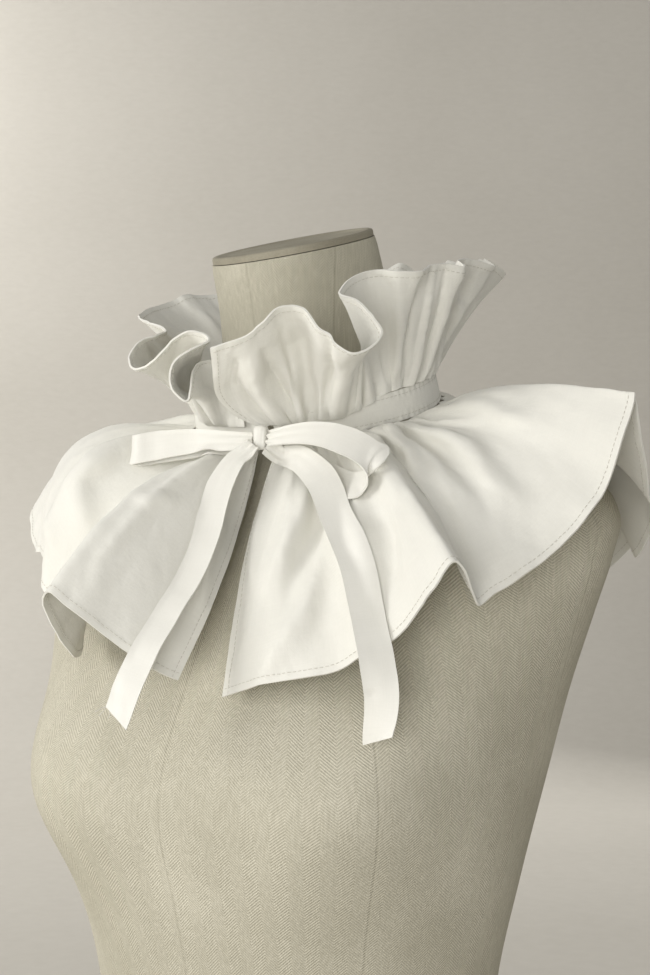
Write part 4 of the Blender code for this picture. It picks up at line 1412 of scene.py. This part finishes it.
# %% [markdown]
# ## Floor and backdrop
#
# The form stands on a plain pale floor that curves up into a wall well behind it, so no line shows where
# they meet. One bent sheet does both. It stands far back, to leave room for looking from other sides.

# %% The sweep
CAMERA_BEARING = 30.0
WALL_BACK = 2400.0
SWEEP_RADIUS = 700.0
SWEEP_HALF = 4200.0
WALL_TALL = 4200.0
FLOOR_FRONT = 4200.0
BEND_STEPS = 14
SWEEP_COLUMNS = 9

towards = heading(CAMERA_BEARING)
sideways = heading(CAMERA_BEARING + 90)
profile = [(FLOOR_FRONT, 0.0)]
for b in np.linspace(0, math.pi / 2, BEND_STEPS):
    profile.append((-WALL_BACK + SWEEP_RADIUS - SWEEP_RADIUS * math.sin(b), SWEEP_RADIUS * (1 - math.cos(b))))
profile.append((-WALL_BACK, WALL_TALL))
sweep_points = [
    towards * forward + sideways * side + np.array([0.0, 0.0, up])
    for forward, up in profile
    for side in np.linspace(-SWEEP_HALF, SWEEP_HALF, SWEEP_COLUMNS)
]
sweep_faces = grid_faces(SWEEP_COLUMNS, len(profile))
sweep_mesh = bpy.data.meshes.new("sweep")
sweep_mesh.from_pydata((np.array(sweep_points) * MM).tolist(), [], sweep_faces)
sweep_mesh.polygons.foreach_set("use_smooth", [True] * len(sweep_mesh.polygons))
sweep_mesh.materials.append(wall_paint)
sweep = bpy.data.objects.new("sweep", sweep_mesh)
bpy.context.scene.collection.objects.link(sweep)
print("sweep faces:", len(sweep_faces))

# %% [markdown]
# ## Light
#
# White cloth shows its folds only where the light is uneven. A soft light stands high at the left of the
# camera, a wider one beside the camera, and a faint one behind the form. The fourth lights the wall from the
# left, so that it grows darker towards the right. The world adds an even, low light to the shadows.

# %% Lights
WARM = (1.0, 0.985, 0.955)
ROOM_COLOUR = (0.94, 0.925, 0.89, 1)
ROOM_STRENGTH = 0.43


def soft_light(name, turn, reach, height, size, power, aim):
    """A square area light at a place round the form, turned to an aim point. Sizes are in metres."""
    lamp = bpy.data.lights.new(name, "AREA")
    lamp.shape, lamp.size, lamp.energy, lamp.color = "SQUARE", size, power, WARM
    made = bpy.data.objects.new(name, lamp)
    made.location = Vector(heading(CAMERA_BEARING + turn) * reach) + Vector((0, 0, height))
    made.rotation_mode = "QUATERNION"
    made.rotation_quaternion = (Vector(aim) - made.location).to_track_quat("-Z", "Y")
    bpy.context.scene.collection.objects.link(made)


wall_aim = Vector(heading(CAMERA_BEARING) * -2.4) + Vector(heading(CAMERA_BEARING - 90) * 0.5)
wall_aim = wall_aim + Vector((0, 0, 0.7))
# Each light: degrees round from the camera, distance, height, size, power in watts, and where it aims
LIGHTS = (
    ("window", -72, 1.5, 0.8, 0.7, 12.0, (0, 0, 0.5)),
    ("fill", -14, 1.9, 0.46, 1.0, 14.5, (0, 0, 0.45)),
    ("behind", 165, 1.9, 0.8, 1.2, 4.5, (0, 0, 0.45)),
    ("wall_wash", -136, 2.2, 1.5, 0.8, 18.0, wall_aim),
)
for light in LIGHTS:
    soft_light(*light)
world = bpy.data.worlds.new("room")
bpy.context.scene.world = world
world.use_nodes = True
background = world.node_tree.nodes["Background"].inputs
background["Color"].default_value = ROOM_COLOUR
background["Strength"].default_value = ROOM_STRENGTH
bpy.context.scene.view_settings.view_transform = "Standard"

# %% [markdown]
# ## Camera
#
# The camera looks level at the collar from the wearer's left front, a metre away. The picture's height
# covers 975 squares of 0.59 mm at the neck, which gives the lens.

# %% The camera
PICTURE_TALL = 975
SQUARE = 0.59 * MM
CAMERA_AWAY = 1.0
AIM_HEIGHT = 0.5175
AIM_SIDE = 9 * SQUARE
SENSOR = 36.0

camera_angle = math.radians(CAMERA_BEARING)
aim = Vector(heading(CAMERA_BEARING + 90)) * AIM_SIDE + Vector((0, 0, AIM_HEIGHT))
camera = bpy.data.objects.new("camera", bpy.data.cameras.new("camera"))
camera.location = aim + Vector(heading(CAMERA_BEARING)) * CAMERA_AWAY
camera.rotation_euler = (math.radians(90), 0, camera_angle)
camera.data.lens = SENSOR * CAMERA_AWAY / (PICTURE_TALL * SQUARE)
bpy.context.scene.collection.objects.link(camera)
bpy.context.scene.camera = camera
print(f"lens: {camera.data.lens:.1f} mm")
